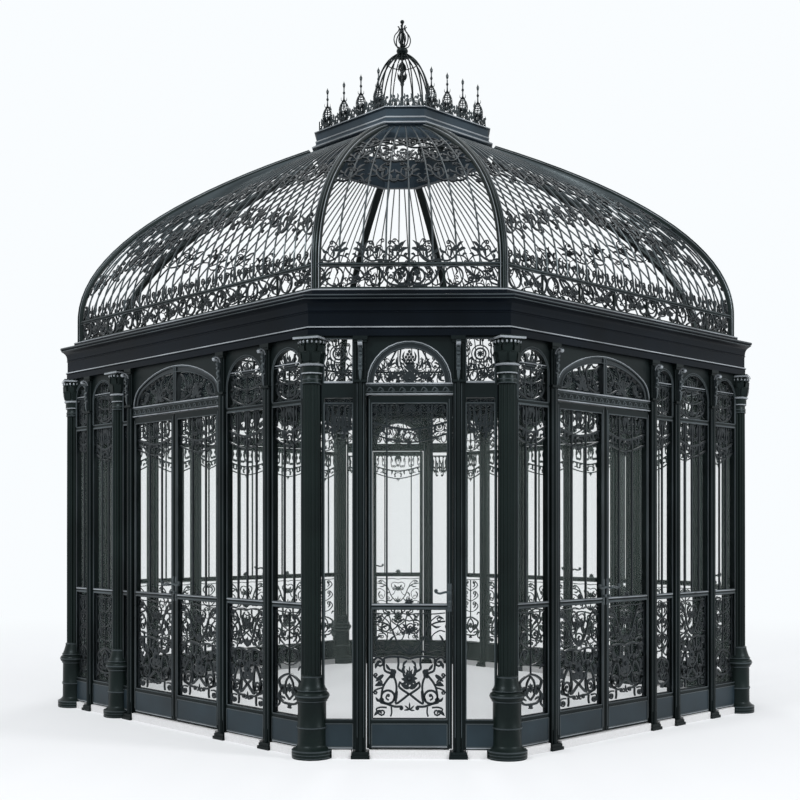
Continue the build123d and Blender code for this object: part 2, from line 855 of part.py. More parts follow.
finial_bands = [
    frustum(finial_sides, cupola_top, collar_shoulder, collar_foot_radius, collar_radius),
    frustum(finial_sides, collar_shoulder, collar_lip, collar_radius, collar_radius),
    frustum(finial_sides, collar_lip, stem_bottom, collar_radius, stem_foot_radius),
    frustum(finial_sides, stem_bottom, ball_centre, stem_radius, stem_radius),
    frustum(finial_sides, ball_centre - ball_radius, ball_centre - ball_half, ball_flat, ball_radius),
    frustum(finial_sides, ball_centre - ball_half, ball_centre + ball_half, ball_radius, ball_radius),
    frustum(finial_sides, ball_centre + ball_half, ball_centre + ball_radius, ball_radius, ball_flat),
]
with BuildPart() as finial:
    add(finial_bands)
    foot = stem_bottom - prong_root_drop
    tip = foot + prong_height
    outside = [(prong_root, foot), (prong_reach + prong_bow, foot + prong_bow_rise), (prong_reach - prong_tip_back, tip)]
    inside = [
        (prong_root_inner, foot),
        (prong_reach + prong_bow_inner, foot + prong_bow_rise_inner),
        (prong_reach - prong_tip_back_inner, tip),
    ]
    steps = [index / prong_sides for index in range(prong_sides + 1)]
    outline = [point_on_curve(outside, share) for share in steps]
    outline += [point_on_curve(inside, share) for share in reversed(steps)]
    for index in range(prong_count):
        with BuildSketch(Plane.XZ.rotated((0, 0, 360 / prong_count * index))):
            Polygon(*outline, align=None)
        extrude(amount=prong_width / 2, both=True)
finial.part.label = "finial"
export_step(finial.part, "parts/finial.step")
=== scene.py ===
import math

import bpy
import numpy as np
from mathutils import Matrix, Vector


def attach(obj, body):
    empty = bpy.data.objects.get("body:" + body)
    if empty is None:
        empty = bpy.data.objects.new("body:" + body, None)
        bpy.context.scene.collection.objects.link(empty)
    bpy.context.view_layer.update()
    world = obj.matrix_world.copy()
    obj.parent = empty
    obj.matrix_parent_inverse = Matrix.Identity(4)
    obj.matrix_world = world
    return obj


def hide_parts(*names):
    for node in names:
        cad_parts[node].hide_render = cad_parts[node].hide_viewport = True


# Wrought iron garden pavilion: the finish of every surface, and the fine ironwork.
# Metres, +Z up, origin on the ground under the centre, as in the frame.

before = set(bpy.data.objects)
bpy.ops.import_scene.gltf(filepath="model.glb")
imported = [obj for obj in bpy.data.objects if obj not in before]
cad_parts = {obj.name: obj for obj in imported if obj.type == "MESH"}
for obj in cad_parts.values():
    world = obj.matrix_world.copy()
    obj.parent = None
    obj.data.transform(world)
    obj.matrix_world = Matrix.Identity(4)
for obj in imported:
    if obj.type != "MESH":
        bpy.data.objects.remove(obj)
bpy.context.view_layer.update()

# Plan, between column axes
FRONT_SIDE = 3.45
END_SIDE = 3.15
CORNER_SIDE = 1.40
DIAGONAL = math.sqrt(0.5)
MITRE = math.tan(math.radians(22.5))

# Heights of the walls
KERB_TOP = 0.060
KICK_TOP = 0.275
MID_RAIL_BOTTOM = 1.070
MID_RAIL_TOP = 1.105
HEAD_RAIL_BOTTOM = 2.543
HEAD_RAIL_TOP = 2.581
CROWN_HEIGHT = 2.958
TRANSOM_BOTTOM = 2.601
TRANSOM_TOP = 2.688
ARCH_RISE = 0.282
HAUNCH_SHARE = 0.62
CORNER_HEAD_HEIGHT = 0.317
LINTEL_BOTTOM = 3.020
CORNICE_BOTTOM = 3.067
CORNICE_TOP = 3.311
UPSTAND_TOP = 3.370
FRIEZE_TOP = 3.567

# Posts, columns and frames
FRONT_POSTS = [0.340, 1.035, 2.390, 2.965]
FRONT_COLUMN = 0.820
END_POSTS = [0.490, 1.780, 2.125, 2.675]
CORNER_POSTS = [0.350, 1.050]
FRONT_DOOR = (1.035, 2.390)
END_DOOR = (0.490, 1.780)
CORNER_DOOR = (0.350, 1.050)
POST_WIDTH = 0.076
SHAFT_RADIUS = 0.066
SHAFT_CLEARANCE = 0.005
STILE = 0.018
LEAF_STILE = 0.036
LEAF_BEAD = 0.020
FRAME_DEPTH = 0.050
HINGE_GAP = 0.006
MEETING_GAP = 0.012

# Dome, lantern and cupola
DOME_INSET = 0.040
DOME_TOP = 5.300
DOME_RISE = DOME_TOP - FRIEZE_TOP
FRIEZE_RAIL = 0.020
FRIEZE_DEPTH = 0.036
RIB_WIDTH = 0.070
LANTERN_FRONT = 0.98
LANTERN_END = 0.86
LANTERN_CORNER = 0.35
LANTERN_BOTTOM = 5.180
LANTERN_TOP = 5.462
CUPOLA_RADIUS = 0.285
CUPOLA_NECK = 0.045
CUPOLA_TOP = 6.255
CUPOLA_RIBS = 16
SPIRE_HEIGHT = 0.400


# Tones of a piece's faces: 1 and 2 are lighter paints for beads, reeds and edges that stand for painted
# highlights, bright and soft; 3 is the kick plates' own paint.
PAINTED_HIGHLIGHT = 1
PAINTED_SOFT_HIGHLIGHT = 2
PANEL = 3


# Mesh kit: pieces are joined arrays of four-sided faces

class Piece:
    """Gathers vertices and faces, and becomes one object. Each shape has a tone of paint."""

    def __init__(self, name):
        self.name = name
        self.verts = []
        self.faces = []
        self.tones = []
        self.count = 0

    def add(self, shape, place=None, tone=0):
        verts, faces = shape
        if place is not None:
            verts = verts @ place[:3, :3].T + place[:3, 3]
        self.verts.append(verts)
        self.faces.append(faces + self.count)
        self.tones.append(np.full(len(faces), tone))
        self.count += len(verts)

    def finish(self, material, body="root", smooth_angle=None, replaces=()):
        mesh = bpy.data.meshes.new(self.name)
        mesh.from_pydata(np.concatenate(self.verts), [], np.concatenate(self.faces))
        tones = np.concatenate(self.tones)
        mesh.materials.append(material)
        if tones.any():
            for extra in (highlight_edge_paint, soft_highlight_edge_paint, panel_paint):
                mesh.materials.append(extra)
            mesh.polygons.foreach_set("material_index", tones.astype(np.int32))
        if smooth_angle is not None:
            mesh.shade_smooth()
            mesh.set_sharp_from_angle(angle=math.radians(smooth_angle))
        obj = bpy.data.objects.new(self.name, mesh)
        bpy.context.scene.collection.objects.link(obj)
        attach(obj, body)
        if replaces:
            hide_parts(*replaces)


def merge(shapes):
    """Several shapes as one."""
    verts = []
    faces = []
    count = 0
    for shape_verts, shape_faces in shapes:
        verts.append(shape_verts)
        faces.append(shape_faces + count)
        count += len(shape_verts)
    return np.concatenate(verts), np.concatenate(faces)


def mirrored(shape):
    """The shape mirrored across x = 0."""
    verts, faces = shape
    return verts * np.array([-1.0, 1.0, 1.0]), faces[:, ::-1]


def both_hands(shapes):
    """The shapes and their mirror image."""
    shape = merge(shapes)
    return merge([shape, mirrored(shape)])


def placed(shape, x=0.0, y=0.0, z=0.0, turn=0.0):
    """The shape turned in its own plane and moved."""
    verts, faces = shape
    c, s = math.cos(turn), math.sin(turn)
    spin = np.array([[c, -s, 0.0], [s, c, 0.0], [0.0, 0.0, 1.0]])
    return verts @ spin.T + np.array([x, y, z]), faces


def strip_faces(rings, around, closed=False):
    """Faces of a tube of rings, with caps unless it closes on itself."""
    count = rings if closed else rings - 1
    i = np.arange(count)[:, None]
    k = np.arange(around)[None, :]
    nxt = (i + 1) % rings
    after = (k + 1) % around
    quads = np.stack(np.broadcast_arrays(i * around + k, i * around + after, nxt * around + after,
                                         nxt * around + k), -1)
    faces = quads.reshape(-1, 4)
    if not closed:
        start = []
        stop = []
        last = (rings - 1) * around
        for k in range(1, around - 1, 2):
            start.append([0, k + 2 if k + 2 < around else k + 1, k + 1, k] if k + 2 < around else [0, k + 1,
                                                                                                   k, 0])
            stop.append([last, last + k, last + k + 1, last + min(k + 2, around - 1)])
        caps = [f for f in start + stop if len(set(f)) == 4]
        if caps:
            faces = np.concatenate([faces, np.array(caps)])
    return faces


def sweep(path, side, up, section, scale=None, closed=False):
    """A section carried along a path. side and up are its axes at each point."""
    section = np.asarray(section)
    size = np.ones(len(path)) if scale is None else np.asarray(scale)
    across = section[None, :, 0, None] * size[:, None, None]
    above = section[None, :, 1, None] * size[:, None, None]
    verts = path[:, None, :] + across * side[:, None, :] + above * up[:, None, :]
    return verts.reshape(-1, 3), strip_faces(len(path), len(section), closed)


def box_section(width, depth):
    """Corners of a rectangular bar."""
    return [(width / 2, depth / 2), (-width / 2, depth / 2), (-width / 2, -depth / 2),
            (width / 2, -depth / 2)]


def round_section(width, depth, sides=6):
    """Corners of a round or oval bar."""
    angles = [2 * math.pi * k / sides for k in range(sides)]
    return [(width / 2 * math.cos(a), depth / 2 * math.sin(a)) for a in angles]


def wire(thick):
    """A round bar."""
    return round_section(thick, thick)


def flat_sweep(path, section, scale=None, closed=False, lift=0.0):
    """A section carried along a path in the x-y plane, with its depth along z."""
    path = np.asarray(path, float)
    if closed:
        tangent = np.roll(path, -1, 0) - np.roll(path, 1, 0)
    else:
        tangent = np.gradient(path, axis=0)
    tangent /= np.linalg.norm(tangent, axis=1)[:, None] + 1e-12
    side = np.stack([-tangent[:, 1], tangent[:, 0], np.zeros(len(path))], 1)
    up = np.tile([0.0, 0.0, 1.0], (len(path), 1))
    spots = np.column_stack([path, np.full(len(path), lift)])
    return sweep(spots, side, up, section, scale, closed)


def lathe(profile, segments=48, flutes=0, flute_depth=0.0):
    """A profile of (radius, height) turned about z, upward."""
    profile = np.asarray(profile, float)
    angle = 2 * math.pi * np.arange(segments) / segments
    radius = np.repeat(profile[:, 0][:, None], segments, 1)
    if flutes:
        radius = radius - flute_depth * np.abs(np.sin(angle * flutes / 2)) ** 0.7
    verts = np.stack([
        radius * np.cos(angle), radius * np.sin(angle), np.repeat(profile[:, 1][:, None], segments, 1),
    ], -1)
    faces = strip_faces(len(profile), segments)[: (len(profile) - 1) * segments]
    return verts.reshape(-1, 3), faces


# Plan helpers

def octagon(first, second, cut):
    """Corners of a rectangle with cut corners, from the left end of the front side round to the right."""
    x = first / 2 + cut * DIAGONAL
    y = second / 2 + cut * DIAGONAL
    quarter = [(first / 2, -y), (x, -second / 2), (x, second / 2), (first / 2, y)]
    return np.array([(-first / 2, -y)] + quarter + [(-first / 2, y), (-x, second / 2), (-x, -second / 2)])


def wall_octagon(outward):
    """The plan of the walls, moved outward from the column axes."""
    grow = 2 * outward * MITRE
    return octagon(FRONT_SIDE + grow, END_SIDE + grow, CORNER_SIDE + grow)


def lantern_octagon(outward):
    """The plan of the lantern, moved outward from its wall."""
    grow = 2 * outward * MITRE
    return octagon(LANTERN_FRONT + grow, LANTERN_END + grow, LANTERN_CORNER + grow)


CORNERS = wall_octagon(0.0)
DOME_CORNERS = wall_octagon(-DOME_INSET)
LANTERN_CORNERS = lantern_octagon(0.0)


def side_frame(side, points=CORNERS, x=0.0, height=0.0, outward=0.0):
    """Local x runs along the side, y is up and z points outward."""
    start = points[side % 8]
    along = points[(side + 1) % 8] - start
    along = along / np.linalg.norm(along)
    out = np.array([along[1], -along[0]])
    place = np.eye(4)
    place[:3, 0] = (*along, 0)
    place[:3, 1] = (0, 0, 1)
    place[:3, 2] = (*out, 0)
    place[:2, 3] = start + along * x + out * outward
    place[2, 3] = height
    return place


def upright(point, angle=0.0, height=0.0):
    """A turned piece's place on the plan."""
    c, s = math.cos(angle), math.sin(angle)
    place = np.eye(4)
    place[:2, :2] = [[c, -s], [s, c]]
    place[:2, 3] = point
    place[2, 3] = height
    return place


def side_length(side):
    """Length of a wall between column axes."""
    return [FRONT_SIDE, CORNER_SIDE, END_SIDE, CORNER_SIDE][side % 4]


def side_posts(side):
    """Where the posts of a wall stand along it."""
    return [FRONT_POSTS, CORNER_POSTS, END_POSTS, CORNER_POSTS][side % 4]


def door_bay(side):
    """The two posts between which a wall has its door."""
    return [FRONT_DOOR, CORNER_DOOR, END_DOOR, CORNER_DOOR][side % 4]


def screen_bays(side):
    """Clear spans between uprights where a fixed screen stands."""
    column_half = SHAFT_RADIUS + SHAFT_CLEARANCE
    uprights = [(0.0, column_half), (side_length(side), column_half)]
    uprights += [(place, POST_WIDTH / 2) for place in side_posts(side)]
    if side % 4 == 0:
        uprights.append((FRONT_COLUMN, column_half))
    uprights.sort()
    spans = []
    for (place, half), (after, after_half) in zip(uprights, uprights[1:]):
        if place != door_bay(side)[0]:
            spans.append((place + half, after - after_half))
    return spans


def leaf_spans(side):
    """Where the door leaves of a side stand between their posts."""
    start, stop = door_bay(side)
    left = start + POST_WIDTH / 2 + HINGE_GAP
    right = stop - POST_WIDTH / 2 - HINGE_GAP
    if side % 2:
        return [(left, right)]
    middle = (left + right) / 2
    return [(left, middle - MEETING_GAP / 2), (middle + MEETING_GAP / 2, right)]


# Motifs of wrought work, drawn in the x-y plane

BAR = box_section(0.0115, 0.014)
THIN_BAR = box_section(0.008, 0.012)
STOUT_BAR = box_section(0.0155, 0.016)
UPRIGHT = box_section(0.013, 0.014)
LEAF_TIP = 0.08
ARCH_SAMPLES = 42


def smooth_path(points, samples=6):
    """A smooth curve through the points."""
    points = np.asarray(points, float)
    ends = np.vstack([2 * points[0] - points[1], points, 2 * points[-1] - points[-2]])
    path = []
    for i in range(1, len(ends) - 2):
        a, b, c, d = ends[i - 1:i + 3]
        for t in np.linspace(0, 1, samples, endpoint=False):
            path.append(0.5 * (
                2 * b + (c - a) * t + (2 * a - 5 * b + 4 * c - d) * t * t + (3 * b - a - 3 * c + d) * t ** 3
            ))
    path.append(points[-1])
    return np.array(path)


def curl(point, tangent, radius, hand, turns=1.15):
    """A spiral that carries on from a point, turning left for hand 1 and right for hand -1."""
    samples = 8 if radius < 0.020 else 10 if radius < 0.032 else 13
    tangent = np.asarray(tangent, float) / np.linalg.norm(tangent)
    left = np.array([-tangent[1], tangent[0]]) * hand
    centre = np.asarray(point) + left * radius
    start = math.atan2(-left[1], -left[0])
    path = []
    for t in np.linspace(0, 1, samples)[1:]:
        r = radius * (1 - 0.78 * t)
        a = start + hand * 2 * math.pi * turns * t
        path.append(centre + r * np.array([math.cos(a), math.sin(a)]))
    return path


def scroll(points, first=None, last=None, section=BAR, samples=3, turns=1.15):
    """A bar along a smooth curve, each end rolled into a spiral of (radius, hand)."""
    spine = smooth_path(points, samples)
    path = list(spine)
    if last:
        path = path + curl(spine[-1], spine[-1] - spine[-2], last[0], last[1], turns)
    if first:
        path = curl(spine[0], spine[0] - spine[1], first[0], first[1], turns)[::-1] + path
    return flat_sweep(path, section)


def leaf(points, width, thickness=0.010):
    """A leaf that swells and comes to a point, along a smooth curve."""
    path = smooth_path(points, 2)
    t = np.linspace(0, 1, len(path))
    swell = np.sin(np.pi * np.clip(0.12 + 0.86 * t, 0, 1)) ** 0.8
    return flat_sweep(path, box_section(width, thickness), np.maximum(swell, LEAF_TIP))


def ring(radius, section, sides):
    angle = 2 * math.pi * np.arange(sides) / sides
    path = np.column_stack([radius * np.cos(angle), radius * np.sin(angle)])
    return flat_sweep(path, section, closed=True)


def boss(radius, height, sides=10):
    """A domed stud that faces outward."""
    profile = [(radius, -height * 0.4), (radius, 0.0), (radius * 0.85, height * 0.45),
               (radius * 0.5, height * 0.8),
               (radius * 0.05, height)]
    return lathe(profile, sides)


def rosette(radius, petals=8):
    """A boss with petals round it."""
    shapes = [boss(radius * 0.34, radius * 0.4)]
    for k in range(petals):
        petal = leaf([(radius * 0.25, 0.0), (radius * 0.65, radius * 0.06), (radius, 0.0)], radius * 0.42)
        shapes.append(placed(petal, turn=2 * math.pi * k / petals))
    return merge(shapes)


def palmette(size, leaves=5, spread=150.0):
    """A fan of leaves from one point, upward."""
    shapes = [placed(boss(size * 0.12, size * 0.1), y=size * 0.05)]
    for k in range(leaves):
        tilt = math.radians(spread) * (k / (leaves - 1) - 0.5)
        length = size * (1.0 - 0.28 * abs(k / (leaves - 1) - 0.5) * 2)
        shapes.append(placed(leaf([(0, size * 0.05), (size * 0.03, length * 0.5), (0, length)],
                                  size * 0.22), turn=tilt))
    return merge(shapes)


def straight(x0, y0, x1, y1, section=BAR):
    """A bar between two points."""
    return flat_sweep([(x0, y0), (x1, y1)], section)


def rectangle_bead(width, height, section):
    """A bead around an opening, about its centre."""
    w, h = width / 2, height / 2
    return merge([
        straight(-w, -h, w, -h, section), straight(-w, h, w, h, section),
        straight(-w, -h, -w, h, section), straight(w, -h, w, h, section),
    ])


def arch_path(half, rise):
    """The inner line of an arch over a span, from its right springing to its left one."""
    path = [(half, 0.0)]
    if half <= rise:
        straight_part = rise - half
        for a in np.linspace(0, math.pi, ARCH_SAMPLES):
            path.append((half * math.cos(a), straight_part + half * math.sin(a)))
    else:
        haunch = rise * HAUNCH_SHARE
        crown = (half ** 2 + rise ** 2 - 2 * half * haunch) / (2 * (rise - haunch))
        tilt = math.atan2(crown - rise, half - haunch)
        for a in np.linspace(0, tilt, ARCH_SAMPLES // 3):
            path.append((half - haunch + haunch * math.cos(a), haunch * math.sin(a)))
        for a in np.linspace(tilt, math.pi - tilt, ARCH_SAMPLES // 3 + 2)[1:-1]:
            path.append((crown * math.cos(a), rise - crown + crown * math.sin(a)))
        for a in np.linspace(math.pi - tilt, math.pi, ARCH_SAMPLES // 3):
            path.append((-half + haunch + haunch * math.cos(a), haunch * math.sin(a)))
    path.append((-half, 0.0))
    return np.array(path)


def shares(points, width, height):
    """Points given as shares of a width and a height."""
    return [(x * width, y * height) for x, y in points]


def pens(width, height, section=BAR, samples=3):
    """Two ways to draw by shares of a width and a height: a bar with curled ends, and a leaf."""

    def bar(points, first=None, last=None, section=section):
        return scroll(shares(points, width, height), first, last, section, samples)

    def frond(points, size):
        return leaf(shares(points, width, height), size)

    return bar, frond


def lower_panel(width, height):
    """The scrollwork under the middle rail, about its centre: light vines above, bold scrolls below."""
    w, h = width, height
    r = min(w * 0.080, 0.040)
    bar, frond = pens(w, h, STOUT_BAR)
    bold = [
        bar([(0.0, 0.045), (0.10, 0.062), (0.24, 0.066), (0.338, 0.052)]),
        bar([(0.335, 0.052), (0.338, 0.0), (0.325, -0.062), (0.245, -0.088), (0.235, -0.13)]),
        bar([(0.149, 0.060), (0.145, 0.0), (0.150, -0.045), (0.085, -0.075), (0.075, -0.10)]),
        bar([(0.47, 0.035), (0.42, 0.060), (0.365, 0.040)], None, (r * 0.75, 1)),
        bar([(0.238, -0.09), (0.185, -0.15), (0.172, -0.24), (0.215, -0.335)], (r * 0.5, 1), None),
        bar([(0.238, -0.10), (0.310, -0.16), (0.355, -0.22), (0.372, -0.30), (0.36, -0.345)]),
        bar([(0.12, -0.16), (0.14, -0.20), (0.10, -0.23), (0.0, -0.275)]),
        bar([(0.0, -0.27), (0.085, -0.318), (0.18, -0.360), (0.17, -0.30), (0.165, -0.245)]),
        bar([(0.11, -0.385), (0.20, -0.385), (0.30, -0.362), (0.375, -0.350)], (r * 0.3, 1), (r * 0.45, 1)),
        bar([(0.30, -0.395), (0.38, -0.392), (0.44, -0.410), (0.40, -0.455)], None, (r * 0.6, -1), BAR),
        bar([(0.24, -0.39), (0.235, -0.44), (0.25, -0.475)], None, None, BAR),
        bar([(0.46, -0.12), (0.42, -0.135), (0.38, -0.15)], (r * 0.4, 1), (r * 0.5, 1), BAR),
        bar([(0.46, -0.24), (0.41, -0.225), (0.36, -0.215)], (r * 0.4, -1), None, BAR),
        placed(ring(w * 0.088, STOUT_BAR, 22), x=w * 0.285, y=-0.300 * h),
        placed(scroll([(0.0, -0.05 * w), (0.035 * w, -0.02 * w), (0.02 * w, 0.02 * w)], None,
                      (0.018 * w, 1), BAR),
               x=w * 0.275, y=-0.295 * h),
        frond([(0.345, -0.10), (0.40, -0.13), (0.45, -0.16)], 0.030),
        frond([(0.345, -0.19), (0.41, -0.185), (0.46, -0.20)], 0.028),
        frond([(0.25, -0.05), (0.21, -0.07), (0.19, -0.12)], 0.024),
        frond([(0.25, -0.06), (0.29, -0.03), (0.31, 0.0)], 0.020),
        frond([(0.06, -0.02), (0.085, -0.05), (0.05, -0.09)], 0.022),
        frond([(0.03, 0.03), (0.07, 0.005), (0.09, -0.03)], 0.018),
        frond([(0.375, -0.335), (0.42, -0.33), (0.45, -0.30)], 0.020),
        frond([(0.40, 0.02), (0.44, -0.01), (0.45, -0.045)], 0.024),
        frond([(0.0, -0.22), (0.055, -0.205), (0.125, -0.165)], 0.034),
        frond([(0.38, -0.42), (0.43, -0.44), (0.47, -0.47)], 0.024),
    ]
    vines = [
        bar([(0.475, 0.385), (0.34, 0.37), (0.235, 0.315), (0.165, 0.20), (0.075, 0.125), (0.0, 0.09)],
            None, None, BAR),
        bar([(0.0, 0.385), (0.09, 0.40), (0.155, 0.36), (0.12, 0.30)], None, (r * 0.6, -1), THIN_BAR),
        bar([(0.475, 0.29), (0.40, 0.30), (0.30, 0.25), (0.32, 0.17)], None, (r * 0.8, 1), THIN_BAR),
        bar([(0.235, 0.315), (0.28, 0.38), (0.36, 0.43)], None, (r * 0.6, -1), THIN_BAR),
        bar([(0.165, 0.20), (0.10, 0.22), (0.06, 0.28)], None, (r * 0.5, -1), THIN_BAR),
        bar([(0.47, 0.10), (0.38, 0.12), (0.26, 0.10), (0.20, 0.14)], (r * 0.4, -1), (r * 0.5, -1),
            THIN_BAR),
        bar([(0.475, 0.46), (0.30, 0.45), (0.12, 0.455), (0.0, 0.445)], None, None, THIN_BAR),
        frond([(0.30, 0.35), (0.36, 0.33), (0.42, 0.34)], 0.016),
        frond([(0.20, 0.25), (0.25, 0.22), (0.27, 0.16)], 0.016),
        frond([(0.12, 0.15), (0.18, 0.11), (0.24, 0.12)], 0.016),
        frond([(0.40, 0.26), (0.44, 0.22), (0.43, 0.16)], 0.016),
        frond([(0.09, 0.36), (0.05, 0.33), (0.04, 0.27)], 0.016),
        frond([(0.36, 0.41), (0.42, 0.42), (0.46, 0.40)], 0.014),
    ]
    shapes = [both_hands(bold), both_hands(vines)]
    shapes.append(placed(rosette(min(w * 0.115, 0.058), 10), y=-0.135 * h))
    shapes.append(placed(rosette(min(w * 0.070, 0.034), 8), y=0.30 * h))
    shapes.append(placed(palmette(h * 0.085, 5), y=0.10 * h))
    shapes.append(placed(palmette(h * 0.070, 5, 190.0), y=-0.415 * h))
    shapes.append(placed(palmette(h * 0.060, 3, 90.0), y=-0.08 * h))
    shapes.append(rectangle_bead(w - 0.012, h - 0.012, THIN_BAR))
    return merge(shapes)


def slim_panel(width, height):
    """A narrower lower panel: a tall vine of mirrored curls over a bold lyre."""
    w, h = width, height
    r = min(w * 0.13, 0.03)
    bar, frond = pens(w, h)
    half = [
        bar([(0.0, -0.40), (0.22, -0.39), (0.36, -0.33), (0.24, -0.26)], None, (r, 1), STOUT_BAR),
        bar([(0.44, -0.44), (0.34, -0.40), (0.40, -0.34)], (r * 0.6, 1), (r * 0.6, 1)),
        bar([(0.0, -0.12), (0.18, -0.14), (0.36, -0.19), (0.30, -0.26)], None, (r * 0.7, -1), STOUT_BAR),
        bar([(0.0, -0.14), (0.12, -0.20), (0.14, -0.30), (0.0, -0.36)]),
        bar([(0.0, -0.04), (0.20, -0.02), (0.36, 0.05), (0.24, 0.11)], None, (r * 0.9, 1), THIN_BAR),
        bar([(0.0, 0.12), (0.18, 0.15), (0.36, 0.21), (0.26, 0.27)], None, (r * 0.9, 1), THIN_BAR),
        bar([(0.0, 0.28), (0.16, 0.31), (0.34, 0.37), (0.22, 0.43)], None, (r * 0.8, 1), THIN_BAR),
        bar([(0.46, 0.46), (0.30, 0.455), (0.0, 0.45)], None, None, THIN_BAR),
        frond([(0.30, -0.08), (0.38, -0.04), (0.45, -0.06)], 0.016),
        frond([(0.14, 0.02), (0.24, 0.06), (0.22, 0.12)], 0.014),
        frond([(0.14, 0.18), (0.24, 0.22), (0.22, 0.28)], 0.014),
        frond([(0.12, 0.34), (0.20, 0.37), (0.14, 0.42)], 0.014),
        frond([(0.14, -0.36), (0.26, -0.34), (0.34, -0.37)], 0.018),
    ]
    stem = straight(0.0, -0.12 * h, 0.0, 0.45 * h, THIN_BAR)
    shapes = [both_hands(half), stem, placed(rosette(min(w * 0.18, 0.036), 8), y=-0.25 * h)]
    shapes.append(placed(palmette(h * 0.055, 5), y=-0.44 * h))
    shapes.append(rectangle_bead(w - 0.010, h - 0.010, THIN_BAR))
    return merge(shapes)


def fan(x, y, size, turn, blades, spread):
    """A small open fan of leaves that leans by turn degrees."""
    return placed(palmette(size, blades, spread), x=x, y=y, turn=math.radians(turn))


def lunette(half, rise):
    """The fan of a round-headed light, from its sill: a plume between raking bars and curls."""
    w, h = half, rise
    r = min(w * 0.12, 0.030)
    bar, frond = pens(w, h)
    plume = [
        fan(0, 0.10 * h, 0.40 * h, 0, 7, 150.0), fan(0, 0.34 * h, 0.34 * h, 0, 5, 90.0),
        fan(0, 0.03 * h, 0.24 * h, 0, 9, 180.0),
    ]
    for row, count in enumerate((3, 4, 3, 2, 1)):
        for k in range(count):
            berry = placed(boss(0.0115, 0.012, 8), x=(k - (count - 1) / 2) * 0.024,
                           y=0.58 * h + row * 0.020, z=0.004)
            plume.append(berry)
    sided = [
        bar([(0.16, 0.34), (0.26, 0.62), (0.24, 0.96)], (r * 0.5, 1), None),
        bar([(0.50, 0.16), (0.60, 0.40), (0.52, 0.62), (0.36, 0.93)], (r * 0.6, 1), None),
        bar([(0.62, 0.10), (0.72, 0.30), (0.86, 0.50)], (r * 0.5, -1), None),
        bar([(0.97, 0.06), (0.84, 0.10), (0.80, 0.24)], None, (r, -1)),
        bar([(0.10, 0.10), (0.24, 0.06), (0.36, 0.14)], None, (r * 0.8, 1)),
        bar([(0.70, 0.66), (0.62, 0.56), (0.66, 0.44)], (r * 0.4, 1), (r * 0.5, 1), THIN_BAR),
        fan(0.46 * w, 0.12 * h, 0.30 * h, -18, 7, 190.0), fan(0.80 * w, 0.14 * h, 0.16 * h, -40, 5, 120.0),
        frond([(0.26, 0.40), (0.36, 0.56), (0.34, 0.74)], 0.018),
        frond([(0.14, 0.62), (0.18, 0.76), (0.13, 0.90)], 0.014),
        frond([(0.56, 0.46), (0.50, 0.58), (0.52, 0.70)], 0.016),
        frond([(0.88, 0.24), (0.93, 0.32), (0.88, 0.42)], 0.016),
    ]
    return merge([merge(plume), both_hands(sided)])


def tall_head(half, rise):
    """The scrollwork of a tall round-headed light, from its sill: two tiers of curls under a fan."""
    w, h = half, rise
    r = min(w * 0.20, 0.030)
    bar, frond = pens(w, h)
    sided = [
        bar([(0.0, 0.02), (0.40, 0.06), (0.84, 0.18), (0.70, 0.34)], None, (r, 1)),
        bar([(0.0, 0.34), (0.36, 0.36), (0.80, 0.44), (0.66, 0.58)], None, (r, 1)),
        bar([(0.96, 0.04), (0.78, 0.06), (0.62, 0.14)], None, (r * 0.6, -1), THIN_BAR),
        bar([(0.97, 0.36), (0.84, 0.40), (0.88, 0.50)], None, (r * 0.5, 1), THIN_BAR),
        bar([(0.10, 0.62), (0.28, 0.70), (0.40, 0.90)]),
        bar([(0.20, 0.60), (0.52, 0.66), (0.74, 0.80)]),
        frond([(0.30, 0.08), (0.44, 0.16), (0.40, 0.28)], 0.018),
        frond([(0.30, 0.40), (0.42, 0.46), (0.38, 0.56)], 0.016),
        frond([(0.80, 0.20), (0.92, 0.24), (0.94, 0.34)], 0.014),
        frond([(0.74, 0.56), (0.84, 0.62), (0.84, 0.72)], 0.014),
    ]
    return merge([
        both_hands(sided), fan(0, 0.60 * h, 0.30 * h, 0, 7, 170.0), straight(0, 0.0, 0, 0.62 * h, THIN_BAR),
        placed(rosette(min(0.16 * w, 0.028), 6), y=0.34 * h), fan(0, 0.08 * h, 0.18 * h, 0, 5, 130.0),
    ])


